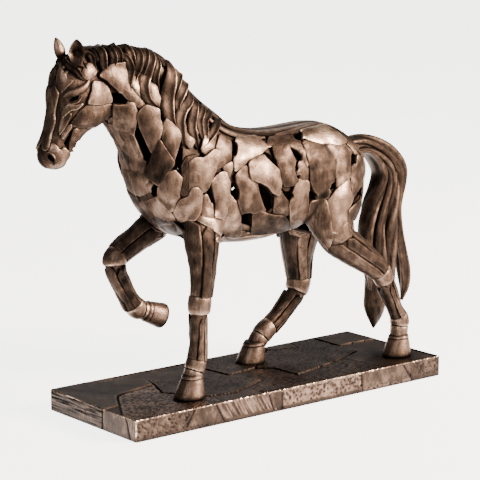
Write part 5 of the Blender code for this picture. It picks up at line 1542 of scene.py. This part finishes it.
class HORSE_OT_head(bpy.types.Operator):
    """Model the plates, strips, forelock and ears of the head"""

    bl_idname = "horse.head"
    bl_label = "Model Head"

    def execute(self, context):
        look = context.scene.horse_plates
        surface = body_surface()
        cast = Cast()
        for mirrored in (False, True):
            locate = seen_place(HEAD_GLASS, mirrored)
            for i, (level, *corners) in enumerate(HEAD_PLATES):
                lay_plate(cast, corners, locate, level, look, HEAD_SEED + i, 0.5, 1.4, 1.6)
            for *path, half_width, height in FACE_STRIPS:
                points = [surface.seen(x, z, HEAD_GLASS) for x, z in on_curve(path, 6)]
                if mirrored:
                    points = [surface.other_side(p) for p in points]
                outward = [surface.normal(p, 3.0) for p in points]
                count = len(points)
                widths = [half_width * taper(i / (count - 1), 0.2) for i in range(count)]
                heights = [height * taper(i / (count - 1), 0.4) for i in range(count)]
                ribbon(cast, points, outward, widths, heights)
            for *path, width in FORELOCKS:
                mane_lock(cast, path, width, HEAD_GLASS, mirrored)
        for tip, base, side in EARS.values():
            self.ear(cast, Vector(tip), Vector(base), side)
        show("head_plates", cast.data("head_plates"), horse_bronze(), "horse")
        return {"FINISHED"}

    def ear(self, cast, tip, base, side):
        """A cupped ear: half-moon sections from the base to the tip, open outward and forward."""
        along = (tip - base).normalized()
        open_to = Vector((-0.55, 0.85 * side, 0))
        open_to = (open_to - along * open_to.dot(along)).normalized()
        across = along.cross(open_to)
        rows = []
        for share, size in EAR_SECTIONS:
            centre = base.lerp(tip, share)
            half, back = EAR_HALF_WIDTH * size, EAR_BACK * size
            cup = EAR_CUP * size * min(1, max(0, share + 0.2) * 2)
            outer = ((-1, 0.3), (-0.75, -0.55), (0, -1), (0.75, -0.55), (1, 0.3))
            profile = (*outer, (0.45, 0.45 - cup), (0, 0.45 - 1.4 * cup), (-0.45, 0.45 - cup))
            ring = [centre + across * (half * u) + open_to * (back * v) for u, v in profile]
            closed = on_curve([tuple(p) for p in ring[-1:] + ring + ring[:2]], 3)[3:-6]
            rows.append(closed.ravel())
        smooth = on_curve(rows, 5)
        rings = [[Vector(p) for p in row.reshape(-1, 3)] for row in smooth]
        rubs = [[0.6 if k < len(ring) * 0.6 else 0.3 for k in range(len(ring))] for ring in rings]
        cast.loft(rings, rubs)


class Paving:
    """The worked surface of the plinth, in millimetres from the centre of its underside."""

    def __init__(self, look):
        self.look = look
        self.length = (PLINTH_HIGH.x - PLINTH_LOW.x) * 1000
        self.width = (PLINTH_HIGH.y - PLINTH_LOW.y) * 1000
        self.height = (PLINTH_HIGH.z - PLINTH_LOW.z) * 1000
        self.joints = []
        for path in SLAB_JOINTS:
            ends = [(a * self.length, b * self.width) for a, b in path]
            self.joints += list(zip(ends, ends[1:]))
        self.columns = self.stations(self.length)
        self.rows = self.stations(self.width)
        self.find_slabs()

    def stations(self, size):
        """Places across a side of the plinth, closer together at its rounded edges."""
        close = (0, 0.3, 0.7, 1.2)
        inner = size - 2 * close[-1]
        count = round(inner / self.look.grid)
        middle = [close[-1] + inner * i / count for i in range(1, count)]
        return np.array([*close, *middle, *[size - c for c in reversed(close)]]) - size / 2

    def find_slabs(self):
        """Numbers the slabs by flooding the top from joint to joint."""
        shape = (len(self.columns), len(self.rows))
        x, y = np.meshgrid(self.columns, self.rows, indexing="ij")
        self.to_joint = np.full(shape, 1e9)
        for (ax, ay), (bx, by) in self.joints:
            dx, dy = bx - ax, by - ay
            t = np.clip(((x - ax) * dx + (y - ay) * dy) / (dx * dx + dy * dy), 0, 1)
            self.to_joint = np.minimum(self.to_joint, np.hypot(x - ax - t * dx, y - ay - t * dy))
        self.slab = np.where(self.to_joint < self.look.grid * 0.75, 0, -1)
        found = 0
        for start in zip(*np.nonzero(self.slab == -1)):
            if self.slab[start] != -1:
                continue
            found += 1
            self.slab[start] = found
            edge = [start]
            while edge:
                i, k = edge.pop()
                for a, b in ((i + 1, k), (i - 1, k), (i, k + 1), (i, k - 1)):
                    if 0 <= a < shape[0] and 0 <= b < shape[1] and self.slab[a, b] == -1:
                        self.slab[a, b] = found
                        edge.append((a, b))
        self.kinds = [("smooth", 0.0, (0, 0)) for _ in range(found + 1)]
        chance = random.Random(self.look.seed)
        for (along, across), kind, steps in SLABS:
            i = np.abs(self.columns - along * self.length).argmin()
            k = np.abs(self.rows - across * self.width).argmin()
            tilt = (chance.uniform(-1, 1) * 0.003, chance.uniform(-1, 1) * 0.005)
            self.kinds[self.slab[i, k]] = (kind, steps * self.look.step, tilt)

    def top(self, i, k):
        """How far the top lies below the CAD surface at a grid point, and how bright it is rubbed."""
        x, y = self.columns[i], self.rows[k]
        off = self.to_joint[i, k]
        near = math.exp(-((off / 0.6) ** 2))
        kind, level, tilt = self.kinds[self.slab[i, k]]
        sunk = 0.15 + level + abs(tilt[0] * x + tilt[1] * y)
        rough, rub = self.texture(kind, Vector((x, y, 3.0)))
        lip = math.exp(-(((off - 1.5) / 0.5) ** 2))
        if self.slab[i, k] == 0:
            return self.look.joint, 0.0
        return max(0.05, sunk + rough), (0.22 + rub + 0.25 * lip * (1 - level)) * (1 - near)

    def texture(self, kind, at):
        """Depth and rub of a worked surface at a place on it."""
        cloud = noise.noise(at * 0.07)
        if kind == "pitted":
            pit = max(0.0, noise.noise(at * 0.75) - 0.1)
            return 0.1 + 1.2 * pit, 0.1 * cloud - 0.5 * pit
        if kind == "coarse":
            near, _ = noise.voronoi(at * 0.42)
            dip = max(0.0, 0.62 - near[0])
            return 0.08 + 1.3 * dip, 0.25 - 0.9 * dip + 0.1 * cloud
        if kind == "hewn":
            ripple = noise.noise(Vector((at.x * 0.3 + at.y * 0.2, at.y * 0.6, at.z)))
            return 0.1 + 0.7 * (0.5 + ripple), 0.1 * cloud - 0.25 * ripple
        if kind == "grain":
            groove = noise.noise(Vector((at.x * 0.75 + at.z * 0.45, at.y * 0.75, at.z * 0.05)))
            return 0.3 + 0.6 * groove, 0.02 - 0.38 * groove
        if kind == "layers":
            groove = noise.noise(Vector((at.x * 0.05, at.y * 0.05, at.z * 1.1)))
            return 0.3 + 0.6 * groove, -0.08 - 0.3 * groove
        return 0.1 + 0.06 * cloud, 0.12 * cloud

    def side(self, face, share, at, high):
        """How far a side is set in at a share of its length and height, and how bright it is rubbed."""
        kinds = SIDE_TEXTURES[face]
        panel, groove = 0, 0.0
        for (top, top_height), (bottom, bottom_height) in SIDE_JOINTS[face]:
            if high < bottom_height:
                continue
            t = (top_height - high) / max(top_height - bottom_height, 1e-6)
            off = share - (top + (bottom - top) * t)
            panel += off > 0
            size = self.length if face in ("left", "right") else self.width
            groove = max(groove, math.exp(-((off * size / 0.6) ** 2)))
        rough, rub = self.texture(kinds[min(panel, len(kinds) - 1)], at)
        return max(0.05, rough) + 0.7 * groove, (0.3 + rub) * (1 - groove)

    def rounded(self, p):
        """Moves a point of the sharp box onto a box with rounded edges."""
        r = self.look.edge
        half = Vector((self.length / 2 - r, self.width / 2 - r, self.height / 2 - r))
        middle = Vector((0, 0, self.height / 2))
        off = p - middle
        core = Vector([max(-h, min(h, c)) for c, h in zip(off, half)])
        out = off - core
        return p if out.length < 1e-9 else middle + core + out.normalized() * min(out.length, r)


class HORSE_OT_plinth(bpy.types.Operator):
    """Pave the plinth with worked slabs"""

    bl_idname = "horse.plinth"
    bl_label = "Pave Plinth"

    def execute(self, context):
        paving = Paving(context.scene.horse_paving)
        columns, rows = paving.columns, paving.rows
        last_i, last_k = len(columns) - 1, len(rows) - 1
        cast = Cast()
        for i, x in enumerate(columns):
            for k, y in enumerate(rows):
                sunk, rub = paving.top(i, k)
                to_edge = min(i, k, last_i - i, last_k - k)
                worn = EDGE_WEAR[to_edge] if to_edge < len(EDGE_WEAR) else 0.0
                worn *= 0.75 + 0.5 * noise.noise(Vector((x, y, 0)) * 0.4)
                p = paving.rounded(Vector((x, y, paving.height)))
                p.z -= sunk
                cast.add([p], [max(rub, worn)])
        for i in range(last_i):
            for k in range(last_k):
                a = i * (last_k + 1) + k
                cast.faces.append((a, a + last_k + 1, a + last_k + 2, a + 1))
        self.sides(cast, paving, last_i, last_k)
        data = cast.data("plinth_slabs")
        placed = Matrix.Translation((PLINTH_LOW + PLINTH_HIGH) / 2 - Vector((0, 0, paving.height / 2000)))
        show("plinth_slabs", data, slab_bronze(), "plinth", 50, placed @ Matrix.Scale(0.001, 4))
        return {"FINISHED"}

    def sides(self, cast, paving, last_i, last_k):
        """Walks round the rim, hangs a column of points from each place on it and closes the underside."""
        rim = (
            [("left", i, 0) for i in range(last_i)]
            + [("back", last_i, k) for k in range(last_k)]
            + [("right", i, last_k) for i in range(last_i, 0, -1)]
            + [("front", 0, k) for k in range(last_k, 0, -1)]
        )
        inward = {"left": Vector((0, 1, 0)), "back": Vector((-1, 0, 0)), "right": Vector((0, -1, 0)),
                  "front": Vector((1, 0, 0))}
        before = [i * (last_k + 1) + k for _, i, k in rim]
        for high in SIDE_LEVELS:
            ring = []
            for face, i, k in rim:
                x, y = paving.columns[i], paving.rows[k]
                along = i / last_i if face in ("left", "right") else 1 - k / last_k
                at = Vector((x, y, high * paving.height))
                depth, rub = paving.side(face, along, at, high)
                at_corner = min(i, last_i - i) + min(k, last_k - k)
                p = paving.rounded(at)
                p += inward[face] * (depth * min(1, high * 8) if at_corner >= 3 else 0.05)
                worn = 0.8 if high > 0.92 or at_corner < 3 else 0.0
                ring.append(cast.add([p], [max(rub, worn * (0.8 + noise.noise(at * 0.5)))]))
            for j in range(len(ring)):
                n = (j + 1) % len(ring)
                cast.faces.append((before[j], ring[j], ring[n], before[n]))
            before = ring
        cast.faces.append(tuple(reversed(before)))


class HORSE_OT_stage(bpy.types.Operator):
    """Set the floor, the lights and the camera"""

    bl_idname = "horse.stage"
    bl_label = "Set Stage"

    def execute(self, context):
        stage = context.scene.horse_stage
        bpy.ops.mesh.primitive_plane_add(size=FLOOR_SIZE)
        floor = context.object
        floor.name = "floor"
        floor.data.materials.append(stage_finish("matte studio paper", stage.floor, 0.9))
        self.light_table(stage)
        self.cloth(stage)
        for name, place, size, power, colour in LIGHTS:
            self.light(name, place, size, power, colour)
        world = bpy.data.worlds.new("studio")
        context.scene.world = world
        world.use_nodes = True
        sky = world.node_tree.nodes["Background"]
        sky.inputs["Color"].default_value = (1, 1, 1, 1)
        sky.inputs["Strength"].default_value = stage.sky
        self.camera(context, stage)
        return {"FINISHED"}

    def light_table(self, stage):
        """The part of the floor in the picture, lit through from below so that it comes out white."""
        across = Vector((-VIEW_TOWARD.y, VIEW_TOWARD.x, 0))
        foot = VIEW_TARGET + VIEW_TOWARD * (VIEW_DISTANCE * math.cos(VIEW_ELEVATION))
        near = foot.dot(VIEW_TOWARD) - stage.cloth_from
        half_view = SENSOR / 2 / stage.lens
        corners = []
        for reach, side in ((near, -1), (near, 1), (TABLE_REACH, 1), (TABLE_REACH, -1)):
            half_width = reach * half_view * 1.02 + 0.01
            corner = foot - VIEW_TOWARD * reach + across * (side * half_width)
            corners.append((corner.x, corner.y, TABLE_LEVEL))
        data = bpy.data.meshes.new("light table")
        data.from_pydata(corners, [], [(0, 1, 2, 3)])
        table = bpy.data.objects.new("light table", data)
        bpy.context.scene.collection.objects.link(table)
        data.materials.append(stage_finish("lit studio paper", stage.floor, 0.9, stage.glow))

    def cloth(self, stage):
        """A dark cloth on the floor in front of the picture, so that the undersides stay dark."""
        bpy.ops.mesh.primitive_plane_add(size=1)
        cloth = bpy.context.object
        cloth.name = "cloth"
        cloth.scale = (CLOTH_WIDTH, stage.cloth, 1)
        cloth.location = VIEW_TOWARD * (stage.cloth_from + stage.cloth / 2) + Vector((0, 0, CLOTH_LEVEL))
        cloth.rotation_euler = (0, 0, VIEW_AZIMUTH)
        cloth.data.materials.append(stage_finish("black felt", linear("#161514"), 1.0))

    def light(self, name, place, size, power, colour):
        data = bpy.data.lights.new(name, "AREA")
        data.energy = power
        data.color = linear(colour)[:3]
        data.size = size
        lamp = bpy.data.objects.new(name, data)
        lamp.location = place
        lamp.rotation_mode = "QUATERNION"
        lamp.rotation_quaternion = (LIGHTS_AIM - Vector(place)).to_track_quat("-Z", "Y")
        bpy.context.scene.collection.objects.link(lamp)

    def camera(self, context, stage):
        back = VIEW_TOWARD * math.cos(VIEW_ELEVATION) + Vector((0, 0, math.sin(VIEW_ELEVATION)))
        data = bpy.data.cameras.new("camera")
        camera = bpy.data.objects.new("camera", data)
        context.scene.collection.objects.link(camera)
        camera.location = VIEW_TARGET + back * VIEW_DISTANCE
        turned = (-back).to_track_quat("-Z", "Y").to_matrix() @ Matrix.Rotation(VIEW_ROLL, 3, "Z")
        camera.rotation_mode = "QUATERNION"
        camera.rotation_quaternion = turned.to_quaternion()
        data.sensor_width = SENSOR
        data.lens = stage.lens
        data.clip_start = 0.01
        context.scene.camera = camera


class HORSE_PT_panel(bpy.types.Panel):
    """Lists the steps of the statue"""

    bl_idname = "HORSE_PT_panel"
    bl_label = "Bronze Horse"
    bl_space_type = "VIEW_3D"
    bl_region_type = "UI"
    bl_category = "Bronze Horse"

    def draw(self, context):
        for step in STEPS:
            self.layout.operator(step.bl_idname)
        for group in GROUPS:
            settings = getattr(context.scene, group)
            box = self.layout.box()
            for name in settings.bl_rna.properties.keys()[2:]:
                box.prop(settings, name)


STEPS = (
    HORSE_OT_shell,
    HORSE_OT_plates,
    HORSE_OT_spine,
    HORSE_OT_mane,
    HORSE_OT_tail,
    HORSE_OT_legs,
    HORSE_OT_head,
    HORSE_OT_plinth,
    HORSE_OT_stage,
)
GROUPS = {
    "horse_plates": HorsePlates,
    "horse_patina": HorsePatina,
    "horse_paving": HorsePaving,
    "horse_stage": HorseStage,
}


def register():
    for group in (*GROUPS.values(), *STEPS, HORSE_PT_panel):
        bpy.utils.register_class(group)
    for name, group in GROUPS.items():
        setattr(bpy.types.Scene, name, PointerProperty(type=group))


def unregister():
    for name in GROUPS:
        delattr(bpy.types.Scene, name)
    for group in (HORSE_PT_panel, *STEPS, *GROUPS.values()):
        bpy.utils.unregister_class(group)


def main():
    register()
    bpy.ops.horse.shell()
    bpy.ops.horse.plates()
    bpy.ops.horse.spine()
    bpy.ops.horse.mane()
    bpy.ops.horse.tail()
    bpy.ops.horse.legs()
    bpy.ops.horse.head()
    bpy.ops.horse.plinth()
    bpy.ops.horse.stage()


if __name__ == "__main__":
    main()
